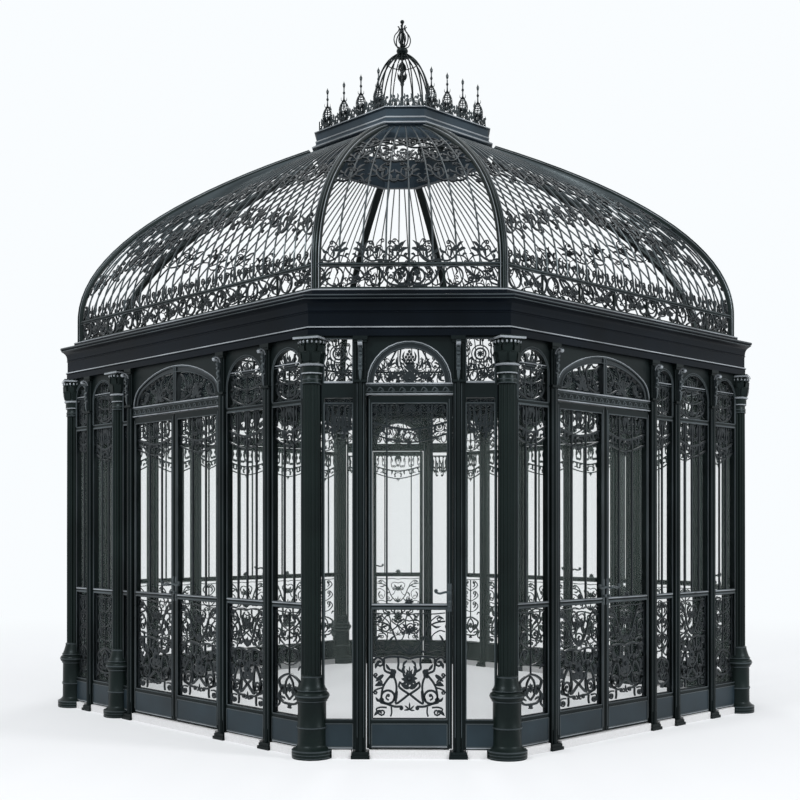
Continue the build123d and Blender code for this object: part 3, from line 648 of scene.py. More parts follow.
def basket_head(half, rise):
    """The fan of a wide basket-arched light, each half a quadrant beside the central upright."""
    w, h = half, rise
    r = min(w * 0.09, 0.034)
    bar, frond = pens(w, h)
    sided = [
        bar([(0.08, 0.06), (0.20, 0.08), (0.34, 0.20)], None, (r * 0.8, 1)),
        bar([(0.08, 0.92), (0.20, 0.70), (0.24, 0.42)], None, (r * 0.6, -1)),
        bar([(0.30, 0.96), (0.40, 0.66), (0.36, 0.40)], None, (r * 0.6, -1)),
        bar([(0.52, 0.92), (0.56, 0.66), (0.50, 0.44)], None, (r * 0.6, 1)),
        bar([(0.74, 0.80), (0.70, 0.60), (0.62, 0.40)], None, (r * 0.6, -1)),
        bar([(0.95, 0.10), (0.82, 0.12), (0.74, 0.28)], (r * 0.5, 1), (r * 0.7, -1)),
        bar([(0.92, 0.44), (0.84, 0.52), (0.82, 0.40)], None, (r * 0.5, -1), THIN_BAR),
        bar([(0.10, 0.40), (0.16, 0.34), (0.14, 0.22)], None, (r * 0.4, 1), THIN_BAR),
        fan(0.47 * w, 0.03, 0.44 * h, 0, 7, 190.0), fan(0.47 * w, 0.36 * h, 0.26 * h, 0, 5, 110.0),
        fan(0.16 * w, 0.03, 0.26 * h, 8, 5, 120.0), fan(0.80 * w, 0.03, 0.28 * h, -12, 5, 130.0),
        frond([(0.22, 0.44), (0.29, 0.54), (0.27, 0.70)], 0.018),
        frond([(0.62, 0.44), (0.68, 0.52), (0.64, 0.66)], 0.018),
        frond([(0.42, 0.66), (0.46, 0.78), (0.42, 0.90)], 0.016),
        frond([(0.12, 0.60), (0.16, 0.72), (0.12, 0.84)], 0.016),
    ]
    return both_hands(sided)


def hook(x, top, reach, hand, size, section=THIN_BAR):
    """A hanging curl: down from the rail, rolled at its foot, with a small leaf at its shoulder."""
    bend = [(x, top), (x + 0.006 * hand, top - 0.45 * reach), (x, top - 0.80 * reach)]
    frond = leaf([(x, top - 0.10 * reach), (x - 0.010 * hand, top - 0.30 * reach),
                  (x - 0.004 * hand, top - 0.52 * reach)], 0.014)
    return merge([scroll(bend, (size * 0.6, -hand), (size, -hand), section, 4), frond])


def valance(width, depth):
    """Scrolled fringe that hangs from a head rail, from the middle of the rail downward."""
    w, d = width / 2, depth
    sag = smooth_path([(-w, -0.46 * d), (-0.5 * w, -0.58 * d), (0.0, -0.64 * d), (0.5 * w, -0.58 * d),
                       (w, -0.46 * d)])
    low = smooth_path([(-w, -0.74 * d), (-0.5 * w, -0.88 * d), (0.0, -0.95 * d), (0.5 * w, -0.88 * d),
                       (w, -0.74 * d)])
    shapes = [flat_sweep(sag, STOUT_BAR), flat_sweep(low, BAR)]
    count = max(2, round(w / 0.054))
    half = []
    for k in range(count):
        x = w * (k + 0.5) / count
        drop = d * (0.60 - 0.14 * ((k + 0.5) / count) ** 2)
        half.append(hook(x, -0.01, drop * 0.86, 1 if k % 2 else -1, min(0.016, w / count * 0.34)))
        if k % 2 == 0:
            low_reach = [(x, -drop - 0.01), (x + 0.010, -drop - 0.06 * d), (x + 0.004, -drop - 0.16 * d)]
            half.append(scroll(low_reach, (0.008, 1), (0.011, 1), THIN_BAR))
        else:
            half.append(leaf([(x, -drop), (x - 0.008, -drop - 0.09 * d), (x, -drop - 0.20 * d)], 0.020))
    half.append(leaf([(0.62 * w, -0.76 * d), (0.70 * w, -0.68 * d), (0.82 * w, -0.70 * d)], 0.016))
    half.append(scroll([(0.0, -0.70 * d), (0.10 * w, -0.74 * d), (0.16 * w, -0.84 * d)], None, (0.010, -1),
                       THIN_BAR))
    shapes.append(both_hands(half))
    shapes.append(placed(palmette(0.26 * d, 5, 120.0), y=-0.02 * d, turn=math.pi))
    shapes.append(placed(rosette(0.075 * d, 6), y=-0.40 * d))
    shapes.append(placed(palmette(0.15 * d, 3, 80.0), y=-0.94 * d, turn=math.pi))
    return merge(shapes)


def pendants(width, depth):
    """A leafy fringe of long drops, as in the narrow lights beside the corner doors."""
    w, d = width / 2, depth
    shapes = [straight(-w, -0.03 * d, w, -0.03 * d, BAR)]
    for k, share in enumerate((-0.78, -0.42, 0.0, 0.42, 0.78)):
        reach = d * (0.96 if k % 2 else 0.70)
        shapes.append(hook(share * w, -0.02, reach, 1 if share >= 0 else -1, 0.013, BAR))
        shapes.append(placed(palmette(0.26 * d, 3, 70.0), x=share * w, y=-reach * 0.62, turn=math.pi))
    for hand in (1, -1):
        shapes.append(scroll([(hand * 0.95 * w, -0.10 * d), (hand * 0.72 * w, -0.34 * d),
                              (hand * 0.86 * w, -0.62 * d)],
                             None, (0.014, hand), BAR))
        shapes.append(leaf([(hand * 0.92 * w, -0.04 * d), (hand * 0.78 * w, -0.20 * d),
                            (hand * 0.62 * w, -0.26 * d)], 0.024))
        shapes.append(leaf([(hand * 0.20 * w, -0.30 * d), (hand * 0.30 * w, -0.48 * d),
                            (hand * 0.24 * w, -0.66 * d)], 0.020))
    return merge(shapes)


def upright_bars(width, height, count):
    """Evenly spaced upright bars across an opening."""
    shapes = []
    for k in range(1, count + 1):
        x = width * (k / (count + 1) - 0.5)
        shapes.append(straight(x, 0.0, x, height, UPRIGHT))
    return merge(shapes)


def frieze_unit(width, height):
    """One repeat of the frieze: a broad open oval beside a knot of crossing curls."""
    w, h = width, height / 2
    r = h * 0.30
    bar, frond = pens(w, h, BAR, 4)
    oval = np.array([(0.155 * w * math.cos(a) - 0.26 * w,
                      0.88 * h * math.sin(a)) for a in np.linspace(0, 2 * math.pi, 25)[:-1]])
    shapes = [
        flat_sweep(oval, BAR, closed=True),
        bar([(-0.50, 0.86), (-0.43, 0.40), (-0.44, -0.30), (-0.50, -0.84)]),
        bar([(-0.08, 0.90), (-0.02, 0.40), (0.06, 0.0)], None, (r, -1)),
        bar([(-0.08, -0.90), (0.02, -0.62), (0.14, -0.50)], None, (r, 1)),
        bar([(0.02, 0.88), (0.16, 0.60), (0.24, 0.10), (0.16, -0.30)], None, (r * 0.6, -1)),
        bar([(0.46, 0.88), (0.36, 0.66), (0.28, 0.30)], (r * 0.5, -1), (r, 1)),
        bar([(0.48, -0.86), (0.36, -0.60), (0.34, -0.20)], (r * 0.5, 1), (r * 0.9, -1)),
        frond([(-0.24, 0.80), (-0.20, 0.40), (-0.24, 0.05)], 0.014),
        frond([(0.08, -0.06), (0.14, 0.14), (0.16, 0.44)], 0.015),
        frond([(0.22, -0.10), (0.28, -0.30), (0.38, -0.36)], 0.015),
    ]
    return merge(shapes)


def heart_unit(width, height):
    """The frieze's middle over a cut corner: two large round scrolls that meet, with curls beside them."""
    w, h = width / 2, height / 2
    r = h * 0.62
    bar, frond = pens(w, h)
    half = [
        bar([(0.0, -0.86), (0.10, -0.60), (0.06, 0.10), (0.10, 0.62)], None, (h * 0.34, -1), STOUT_BAR),
        placed(ring(r * 1.12, STOUT_BAR, 26), x=r * 1.16),
        placed(scroll([(0.0, -0.10 * h), (0.10 * h, 0.10 * h), (0.02 * h, 0.26 * h)], (h * 0.12, 1),
                      (h * 0.16, 1), BAR), x=r * 1.16),
        bar([(0.10, -0.90), (0.56, -0.80), (0.82, -0.30), (0.98, 0.70)], None, None, STOUT_BAR),
        bar([(0.66, 0.86), (0.78, 0.40), (0.70, -0.10)], (h * 0.16, 1), (h * 0.22, -1)),
        frond([(0.86, 0.60), (0.92, 0.10), (0.86, -0.30)], 0.016),
        frond([(0.05, 0.90), (0.16, 0.94), (0.28, 0.88)], 0.014),
    ]
    return merge([both_hands(half), placed(palmette(0.7 * h, 5, 120), y=-0.90 * h)])


def crest_unit(width, height):
    """Low cresting at the foot of the dome: an open curl, leaves and a bud on a stem."""
    w, h = width / 2, height
    r = min(0.20 * h, 0.40 * w)
    bar, frond = pens(w, h)
    return merge([
        bar([(-0.90, 0.0), (-0.50, 0.26), (-0.06, 0.48)], None, (r, 1), THIN_BAR),
        bar([(0.96, 0.02), (0.66, 0.18), (0.52, 0.44)], None, (r * 0.7, -1), THIN_BAR),
        frond([(-0.40, 0.30), (-0.60, 0.50), (-0.56, 0.72)], 0.015),
        frond([(0.40, 0.40), (0.62, 0.66), (0.54, 1.0)], 0.016),
        frond([(0.10, 0.0), (0.20, 0.14), (0.10, 0.30)], 0.014),
    ])


def spray_unit(width, height):
    """One spray of the dome's bands: leaning curls on both hands of a stem, leaves and a small flower."""
    w, h = width / 2, height
    r = min(0.14 * h, 0.34 * w)
    bar, frond = pens(w, h)
    return merge([
        bar([(-0.94, 0.10), (-0.40, 0.04), (0.10, 0.24), (0.34, 0.52)], (r * 0.6, 1), (r, 1)),
        bar([(-0.10, 0.14), (-0.52, 0.36), (-0.50, 0.62)], None, (r, -1), THIN_BAR),
        bar([(0.20, 0.30), (0.66, 0.24), (0.94, 0.06)], None, (r * 0.7, -1), THIN_BAR),
        bar([(0.10, 0.56), (0.04, 0.78), (-0.22, 0.94)], (r * 0.5, -1), (r * 0.7, 1), THIN_BAR),
        frond([(0.30, 0.44), (0.62, 0.60), (0.84, 0.58)], 0.024),
        frond([(0.24, 0.62), (0.44, 0.82), (0.70, 0.92)], 0.020),
        frond([(-0.50, 0.40), (-0.80, 0.46), (-0.96, 0.62)], 0.020),
        frond([(-0.20, 0.22), (-0.14, 0.40), (-0.20, 0.58)], 0.018),
        frond([(-0.70, 0.08), (-0.78, 0.24), (-0.66, 0.36)], 0.018),
        frond([(0.60, 0.26), (0.74, 0.36), (0.92, 0.34)], 0.016),
        placed(boss(0.015, 0.011, 7), x=-0.04 * w, y=0.56 * h),
    ])


# Materials

def new_material(name):
    """A material, its nodes, its links and its shader."""
    mat = bpy.data.materials.new(name)
    mat.use_nodes = True
    return mat, mat.node_tree.nodes, mat.node_tree.links, mat.node_tree.nodes["Principled BSDF"]


def fill(node, values):
    """Sets constant values on a node's sockets."""
    for socket, value in values.items():
        node.inputs[socket].default_value = value


def join(links, rows):
    """Links each (node, output, node, input)."""
    for source, out, target, into in rows:
        links.new(source.outputs[out], target.inputs[into])


def noise(nodes, links, scale, detail):
    """Noise laid out in the object's own coordinates."""
    coords = nodes.new("ShaderNodeTexCoord")
    node = nodes.new("ShaderNodeTexNoise")
    fill(node, {"Scale": scale, "Detail": detail})
    links.new(coords.outputs["Object"], node.inputs["Vector"])
    return node


def colour_ramp(nodes, stops):
    """A ramp between two stops of (position, colour)."""
    ramp = nodes.new("ShaderNodeValToRGB")
    for element, (position, colour) in zip(ramp.color_ramp.elements, stops):
        element.position = position
        element.color = (*colour, 1)
    return ramp


def map_range(nodes, low, high):
    """Maps a share onto a range."""
    node = nodes.new("ShaderNodeMapRange")
    fill(node, {"To Min": low, "To Max": high})
    return node


def bump_node(nodes, strength, distance):
    """Relief from a height."""
    node = nodes.new("ShaderNodeBump")
    fill(node, {"Strength": strength, "Distance": distance})
    return node


def iron_material(name, base, roughness, grain_scale, grain_strength, gloss, patch=0.35):
    """Satin paint over iron: slow changes of tone, a fine cast grain and patches of duller gloss."""
    mat, nodes, links, shader = new_material(name)
    fill(shader, {"Metallic": 0.0, "IOR": 1.5, "Specular IOR Level": gloss,
                  "Specular Tint": (0.80, 0.95, 1.0, 1)})
    tone = noise(nodes, links, 2.2, 6.0)
    grain = noise(nodes, links, grain_scale, 4.0)
    ramp = colour_ramp(nodes, [(0.35, [c * (1 - patch) for c in base]),
                               (0.70, [c * (1 + patch) for c in base])])
    rough = map_range(nodes, roughness - 0.08, roughness + 0.10)
    bump = bump_node(nodes, grain_strength, 0.001)
    join(links, [
        (tone, "Fac", ramp, "Fac"), (ramp, "Color", shader, "Base Color"),
        (tone, "Fac", rough, "Value"), (rough, "Result", shader, "Roughness"),
        (grain, "Fac", bump, "Height"), (bump, "Normal", shader, "Normal"),
    ])
    return mat


def stone_material():
    """Honed pale stone with a fine speckle."""
    mat, nodes, links, shader = new_material("kerb_stone")
    fill(shader, {"Roughness": 0.7})
    speckle = noise(nodes, links, 90.0, 8.0)
    ramp = colour_ramp(nodes, [(0.3, (0.64, 0.64, 0.64)), (0.75, (0.74, 0.74, 0.75))])
    bump = bump_node(nodes, 0.2, 0.002)
    join(links, [
        (speckle, "Fac", ramp, "Fac"), (ramp, "Color", shader, "Base Color"),
        (speckle, "Fac", bump, "Height"), (bump, "Normal", shader, "Normal"),
    ])
    return mat


def glass_material():
    """Clear panes: see-through, with a clean gloss that varies a little over the sheet."""
    mat, nodes, links, shader = new_material("clear_glass")
    fill(shader, {"IOR": 1.5, "Alpha": 0.07})
    haze = noise(nodes, links, 1.4, 2.0)
    rough = map_range(nodes, 0.02, 0.08)
    tint = colour_ramp(nodes, [(0.0, (0.16, 0.22, 0.20)), (1.0, (0.30, 0.36, 0.34))])
    join(links, [
        (haze, "Fac", rough, "Value"), (rough, "Result", shader, "Roughness"),
        (haze, "Fac", tint, "Fac"), (tint, "Color", shader, "Base Color"),
    ])
    return mat


iron = iron_material("painted_iron", (0.0032, 0.0056, 0.0056), 0.38, 260.0, 0.25, 0.14)
cast = iron_material("cast_iron_paint", (0.0036, 0.0072, 0.0062), 0.38, 120.0, 0.45, 0.16)
scrollwork = iron_material("scroll_paint", (0.0050, 0.0065, 0.0080), 0.36, 300.0, 0.3, 0.35)
panel_paint = iron_material("panel_paint", (0.013, 0.022, 0.029), 0.34, 200.0, 0.2, 0.25)
cornice_paint = iron_material("cornice_paint", (0.0020, 0.0034, 0.0060), 0.38, 160.0, 0.25, 0.08)
lantern_paint = iron_material("lantern_paint", (0.022, 0.033, 0.044), 0.36, 160.0, 0.25, 0.2)
# The bright edge paint is a painted highlight: a pale grey that stands for gloss catching the light along
# beads and rims.
highlight_edge_paint = iron_material("painted_highlight_edge_paint", (0.24, 0.26, 0.28), 0.28, 220.0, 0.3, 0.5, 0.45)
# The softer edge paint is a painted highlight too, fainter, for the lesser beads, reeds and bars.
soft_highlight_edge_paint = iron_material("painted_soft_highlight_edge_paint", (0.032, 0.040, 0.044), 0.30, 220.0, 0.3, 0.4, 0.5)
stone = stone_material()
glass = glass_material()


# Walls: bars, scrolls and beads in each light

LOWER_HEIGHT = MID_RAIL_BOTTOM - KICK_TOP
UPPER_HEIGHT = HEAD_RAIL_BOTTOM - MID_RAIL_TOP
KICK_MARGIN = 0.030
PANEL_THICKNESS = 0.003
BEAD = box_section(0.007, 0.007)
FACE = FRAME_DEPTH / 2
BAR_PITCH = 0.105
WIDE_BAY = 0.40
DOOR_FRINGE = 0.295
PENDANT_REACH = 0.29
LOCK_HEIGHT = 1.15
CURL_PITCH = 0.075


def level_wire(width, thick, y=0.0, z=FACE):
    """A level reed on the face of a screen."""
    return placed(straight(-width / 2, 0, width / 2, 0, wire(thick)), y=y, z=z)


def upper_light(width, height, bars, fringe, spread=1.0):
    """Bars and hanging fringe of an upper light, from the middle of its sill."""
    return merge([upright_bars(width * spread, height, bars), placed(valance(width, fringe), y=height)])


class Bay:
    """One bay of a wall. Its fine work is placed from the middle of its width, at a height."""

    def __init__(self, piece, side, middle, width):
        self.piece = piece
        self.side = side
        self.middle = middle
        self.width = width

    def place(self, height, outward=0.0):
        return side_frame(self.side, x=self.middle, height=height, outward=outward)

    def add(self, shape, height, tone=0, outward=0.0):
        self.piece.add(shape, self.place(height, outward), tone)

    def bead(self, bottom, height):
        """A bead round an opening, in the soft painted-highlight paint."""
        self.add(placed(rectangle_bead(self.width, height, BEAD), y=height / 2, z=FACE), bottom, PAINTED_SOFT_HIGHLIGHT)

    def lights(self, upper, lower):
        """Fine work of the openings above and below the middle rail, each with its bead."""
        self.add(upper, MID_RAIL_TOP)
        self.bead(MID_RAIL_TOP, UPPER_HEIGHT)
        self.add(lower, KICK_TOP + LOWER_HEIGHT / 2)
        self.bead(KICK_TOP, LOWER_HEIGHT)

    def kick_plate(self, bottom):
        """The flush panel of a kick plate inside two beads."""
        height = KICK_TOP - bottom - KICK_MARGIN
        middle = bottom + height / 2
        half = self.width / 2
        panel = flat_sweep([(-half, 0), (half, 0)], box_section(height, PANEL_THICKNESS), lift=FACE)
        self.add(panel, middle, PANEL)
        bead = placed(rectangle_bead(self.width, height, BEAD), z=FACE + PANEL_THICKNESS / 2)
        self.add(bead, middle, PAINTED_SOFT_HIGHLIGHT)
        self.add(level_wire(self.width, 0.010, -height / 2 - 0.008), middle, PAINTED_HIGHLIGHT)

    def rail_beads(self):
        """Reeds along the middle rail: one on top in the bright painted-highlight paint and one below in the
        soft one.
        """
        self.add(level_wire(self.width, 0.011), MID_RAIL_TOP - 0.006, PAINTED_HIGHLIGHT)
        self.add(level_wire(self.width, 0.011), MID_RAIL_BOTTOM + 0.006, PAINTED_SOFT_HIGHLIGHT)


def arch_mouldings(piece, place, half, rise, casing):
    """The casing of an arched head and the double line round it."""
    inner = arch_path(half - casing / 2, rise - casing * 0.4)
    piece.add(flat_sweep(inner, box_section(casing, FRAME_DEPTH * 0.7)), place)
    for grow, up, thick, tone in ((0.008, 0.015, 0.008, PAINTED_HIGHLIGHT), (-0.005, 0.004, 0.007, PAINTED_SOFT_HIGHLIGHT),
                                  (-casing, -casing * 0.8, 0.007, PAINTED_SOFT_HIGHLIGHT)):
        line = arch_path(half + grow, rise + up)
        piece.add(placed(flat_sweep(line, wire(thick)), z=FACE), place, tone)


def transom_beads(bay):
    """The transom: two rails in the bright painted-highlight paint and two in the soft one, with a strip of
    small curls, also in the soft one, between.
    """
    width = bay.width
    height = TRANSOM_TOP - TRANSOM_BOTTOM
    for share, thick, tone in ((0.94, 0.013, PAINTED_HIGHLIGHT), (0.76, 0.008, PAINTED_SOFT_HIGHLIGHT), (0.26, 0.008, PAINTED_SOFT_HIGHLIGHT),
                               (0.06, 0.012, PAINTED_HIGHLIGHT)):
        bay.add(level_wire(width, thick, height * share), TRANSOM_BOTTOM, tone)
    count = max(2, round(width / CURL_PITCH))
    pitch = width / count
    for k in range(count):
        x = (k + 0.5) * pitch - width / 2
        points = [(x - pitch * 0.42, height * 0.34), (x - 0.2 * pitch, height * 0.62),
                  (x + pitch * 0.1, height * 0.44)]
        wave = scroll(points, None, (pitch * 0.17, -1), BEAD, 4)
        bay.add(placed(wave, z=FACE), TRANSOM_BOTTOM, PAINTED_SOFT_HIGHLIGHT)


def sidelight(bay):
    """One narrow light beside a corner door: a clear pane under pendants, curls in the head."""
    clear = bay.width
    head = CORNER_HEAD_HEIGHT
    bay.add(pendants(clear, PENDANT_REACH), HEAD_RAIL_BOTTOM)
    bay.bead(KICK_TOP, HEAD_RAIL_BOTTOM - KICK_TOP)
    bay.bead(TRANSOM_TOP, head)
    band = placed(frieze_unit(clear, head * 0.42), y=head * 0.24)
    ball = placed(merge([rosette(0.026, 8), ring(0.040, BAR, 16), ring(0.062, THIN_BAR, 20)]),
                  y=head * 0.66)
    drop = straight(0, head * 0.86, 0, head * 0.99, BAR)
    bar, frond = pens(clear, 1.0)
    side_curls = both_hands([
        bar([(0.47, 0.19), (0.36, 0.22), (0.40, 0.27)], (0.010, 1), (0.014, 1), THIN_BAR),
        frond([(0.22, 0.16), (0.32, 0.18), (0.42, 0.16)], 0.018),
    ])
    bay.add(merge([band, ball, drop, side_curls]), TRANSOM_TOP)
    line = placed(straight(-clear / 2, 0, clear / 2, 0, round_section(0.016, 0.014)), y=0.004, z=FACE)
    bay.add(line, TRANSOM_TOP, PAINTED_HIGHLIGHT)


def fixed_bay(piece, side, left, right):
    """All the fine work of one fixed screen."""
    clear = right - left - 2 * STILE
    bay = Bay(piece, side, (left + right) / 2, clear)
    bay.kick_plate(KERB_TOP + 0.02)
    if side % 2:
        sidelight(bay)
        return
    bars = max(1, round(clear / BAR_PITCH) - 1)
    motif = lower_panel if clear > WIDE_BAY else slim_panel
    bay.lights(upper_light(clear, UPPER_HEIGHT, bars, min(0.30, clear * 0.75 + 0.06)),
               motif(clear - 0.004, LOWER_HEIGHT - 0.004))
    bay.rail_beads()
    rise = CROWN_HEIGHT - HEAD_RAIL_TOP
    bay.add(tall_head(clear / 2 - 0.006, rise), HEAD_RAIL_TOP)
    for grow, thick in ((0.010, 0.008), (-0.004, 0.007)):
        line = placed(flat_sweep(arch_path(clear / 2 + grow, rise + grow), wire(thick)), z=FACE)
        bay.add(line, HEAD_RAIL_TOP, PAINTED_SOFT_HIGHLIGHT)
    for y, thick, tone in ((0.268, 0.009, PAINTED_HIGHLIGHT), (0.250, 0.007, PAINTED_SOFT_HIGHLIGHT)):
        over = max(0.0, y - (rise - clear / 2))
        reach = math.sqrt(max((clear / 2) ** 2 - over ** 2, 0.01 * clear))
        bay.add(level_wire(2 * reach, thick, y, FACE * 0.6), HEAD_RAIL_TOP, tone)
    for height in (HEAD_RAIL_BOTTOM + 0.006, HEAD_RAIL_TOP - 0.006):
        bay.add(level_wire(clear, 0.010), height, PAINTED_SOFT_HIGHLIGHT)


def fanlight(piece, side):
    """The light over a doorway."""
    start, stop = door_bay(side)
    clear = stop - start - POST_WIDTH - 2 * STILE
    bay = Bay(piece, side, (start + stop) / 2, clear + 2 * STILE)
    place = bay.place(TRANSOM_TOP)
    casing = 0.036 if side % 2 else 0.045
    arch_mouldings(piece, place, clear / 2, ARCH_RISE, casing)
    transom_beads(bay)
    motif = lunette if side % 2 else basket_head
    piece.add(motif(clear / 2 - casing, ARCH_RISE - casing * 0.8), place)
    if side % 2:
        return
    piece.add(flat_sweep([(0, -0.02), (0, ARCH_RISE)], box_section(0.046, FRAME_DEPTH)), place)
    for x in (-0.014, 0.014):
        reed = placed(straight(x, -0.02, x, ARCH_RISE, wire(0.009)), z=FACE)
        piece.add(reed, place, PAINTED_SOFT_HIGHLIGHT)


def door_leaf(name, side, index, body):
    """The fine work, handle and lock of one door leaf."""
    left, right = leaf_spans(side)[index]
    clear = right - left - 2 * LEAF_STILE
    piece = Piece(name)
    bay = Bay(piece, side, (left + right) / 2, clear)
    spread = 1.8 if side % 2 else 1.0
    bay.lights(upper_light(clear, UPPER_HEIGHT, 2, DOOR_FRINGE, spread), lower_panel(clear, LOWER_HEIGHT))
    bay.kick_plate(KERB_TOP + 0.03)
    bay.rail_beads()
    bay.add(placed(rosette(0.034, 8), y=0.012), MID_RAIL_TOP, outward=FACE * 0.6)
    for edge in (left + LEAF_BEAD, right - LEAF_BEAD):
        bead = placed(straight(0, 0.02, 0, TRANSOM_BOTTOM - KERB_TOP - 0.05, BEAD), z=FACE)
        piece.add(bead, side_frame(side, x=edge, height=KERB_TOP + 0.02), PAINTED_SOFT_HIGHLIGHT)
    meeting = left + LEAF_STILE / 2 if index else right - LEAF_STILE / 2
    lock = lock_and_handle() if index else mirrored(lock_and_handle())
    piece.add(lock, side_frame(side, x=meeting, height=LOCK_HEIGHT, outward=FACE), PAINTED_SOFT_HIGHLIGHT)
    piece.finish(scrollwork, body)


def lock_and_handle():
    """A lock case with a scrolled lever that points to local +x, on the face of a stile."""
    plate = merge([
        flat_sweep([(0, -0.100), (0, 0.100)], box_section(0.032, 0.005)),
        placed(flat_sweep([(0, -0.088), (0, 0.088)], box_section(0.024, 0.004)), z=0.004),
    ])
    neck = lathe([(0.013, 0.0), (0.009, 0.008), (0.008, 0.030), (0.012, 0.036), (0.012, 0.044),
                  (0.002, 0.046)], 14)
    lever = placed(scroll([(0.0, 0.0), (0.03, 0.006), (0.07, -0.004), (0.10, 0.006)], None, (0.010, 1),
                          STOUT_BAR), z=0.040)
    lower_knob = lathe([(0.010, 0.0), (0.007, 0.010), (0.012, 0.018), (0.013, 0.026), (0.002, 0.030)], 14)
    keyhole = placed(boss(0.008, 0.005), y=-0.070, z=0.006)
    return merge([plate, placed(neck, y=0.035), placed(lever, y=0.035), placed(lower_knob, y=-0.030),
                  keyhole])


SCREENS = [
    ("front_screen_ironwork", (0,)), ("right_screen_ironwork", (2,)), ("back_screen_ironwork", (4,)),
    ("left_screen_ironwork", (6,)), ("corner_screen_ironwork", (1, 3, 5, 7)),
]
for name, sides in SCREENS:
    screens = Piece(name)
    for side in sides:
        for left, right in screen_bays(side):
            fixed_bay(screens, side, left, right)
    screens.finish(scrollwork)

fan_work = Piece("fanlight_ironwork")
for side in range(8):
    fanlight(fan_work, side)
fan_work.finish(scrollwork)

LEAVES = [
    ("front_door_left_ironwork", 0, 0, "front_door_left"),
    ("front_door_right_ironwork", 0, 1, "front_door_right"),
    ("corner_door_ironwork", 1, 0, "corner_door"),
    ("right_door_left_ironwork", 2, 0, "right_door_left"),
    ("right_door_right_ironwork", 2, 1, "right_door_right"),
    ("rear_corner_door_ironwork_1", 3, 0, "root"),
    ("back_door_ironwork_1", 4, 0, "root"),
    ("back_door_ironwork_2", 4, 1, "root"),
    ("rear_corner_door_ironwork_2", 5, 0, "root"),
    ("left_door_ironwork_1", 6, 0, "root"),
    ("left_door_ironwork_2", 6, 1, "root"),
    ("rear_corner_door_ironwork_3", 7, 0, "root"),
]
for name, side, index, body in LEAVES:
    door_leaf(name, side, index, body)


# Columns

ABACUS_HALF = 0.1025
CAPITAL_DROPS = 20


def prism(outline, low, high):
    """An upright piece of one plan."""
    verts = [(x, y, low) for x, y in outline] + [(x, y, high) for x, y in outline]
    return np.array(verts), strip_faces(2, len(outline))


def square_plan(half):
    """Corners of a square."""
    return [(half, -half), (half, half), (-half, half), (-half, -half)]


def meridian(angle, line, section, scale=None, hand=1):
    """A section carried along a line of (radius, height) at an angle round the axis."""
    c, s = math.cos(angle), math.sin(angle)
    points = np.column_stack([line[:, 0] * c, line[:, 0] * s, line[:, 1]])
    tangent = np.gradient(points, axis=0)
    tangent /= np.linalg.norm(tangent, axis=1)[:, None]
    side = np.tile([-s * hand, c * hand, 0.0], (len(points), 1))
    up = np.cross(tangent, side)
    return sweep(points, side, up, section, scale)


def shaft_leaf(angle, path, width, thickness=0.006):
    """A leaf that stands round a column, along a path of (radius, height)."""
    path = smooth_path(path, 4)
    t = np.linspace(0, 1, len(path))
    swell = np.maximum(np.sin(np.pi * (0.20 + 0.78 * t)) ** 0.7, 0.1)
    return meridian(angle, path, box_section(width, thickness), swell, -1)


def column_shape():
    """Foot, drum, torus, fluted shaft, leafy capital and abacus of a column."""
    foot = lathe([
        (0.02, 0.0), (0.144, 0.0), (0.146, 0.006), (0.146, 0.048), (0.141, 0.060), (0.130, 0.068),
        (0.120, 0.074),
        (0.112, 0.084), (0.106, 0.090), (0.104, 0.100), (0.103, 0.205), (0.107, 0.211), (0.107, 0.229),
        (0.103, 0.235),
        (0.102, 0.400), (0.107, 0.410), (0.112, 0.418), (0.119, 0.424), (0.124, 0.436), (0.124, 0.456),
        (0.119, 0.466),
        (0.111, 0.471), (0.105, 0.478), (0.109, 0.484), (0.107, 0.492), (0.100, 0.498), (0.090, 0.525),
        (0.081, 0.555),
        (0.077, 0.572), (0.070, 0.590), (0.058, 0.598),
    ], 40)
    shaft = lathe([(0.067, 0.590), (0.0665, 1.6), (0.065, 2.4), (0.064, 2.690)], 128, 16, 0.008)
    neck = lathe([
        (0.052, 2.676), (0.070, 2.680), (0.070, 2.716), (0.066, 2.722), (0.066, 2.742), (0.074, 2.748),
        (0.077, 2.762),
        (0.077, 2.800), (0.084, 2.806), (0.084, 2.822), (0.080, 2.830), (0.082, 2.880), (0.086, 2.940),
        (0.090, 2.990),
        (0.094, 3.000), (0.02, 3.001),
    ], 28)
    shapes = [foot, shaft, neck]
    low_leaf = [(0.083, 2.832), (0.090, 2.870), (0.094, 2.905), (0.102, 2.900)]
    high_leaf = [(0.083, 2.840), (0.090, 2.900), (0.096, 2.950), (0.104, 2.945)]
    bud = [(0.090, 2.950), (0.096, 2.968), (0.100, 2.980)]
    for k in range(8):
        for turn, path, width, thick in ((0, low_leaf, 0.062, 0.008), (2, high_leaf, 0.056, 0.008),
                                         (1, bud, 0.026, 0.010), (3, bud, 0.026, 0.010)):
            shapes.append(shaft_leaf(2 * math.pi * k / 8 + turn * math.pi / 16, path, width, thick))
    shapes += [prism(square_plan(ABACUS_HALF - 0.014), 2.988, 2.996),
               prism(square_plan(ABACUS_HALF - 0.006), 3.010, 3.0195)]
    return merge(shapes)


def disc_bead(radius, height, thick, sides=30):
    """A round bead about a column."""
    profile = [(radius + thick / 2 * math.cos(a),
                height + thick / 2 * math.sin(a)) for a in np.linspace(-math.pi / 2, math.pi / 2, 4)]
    return lathe(profile, sides)


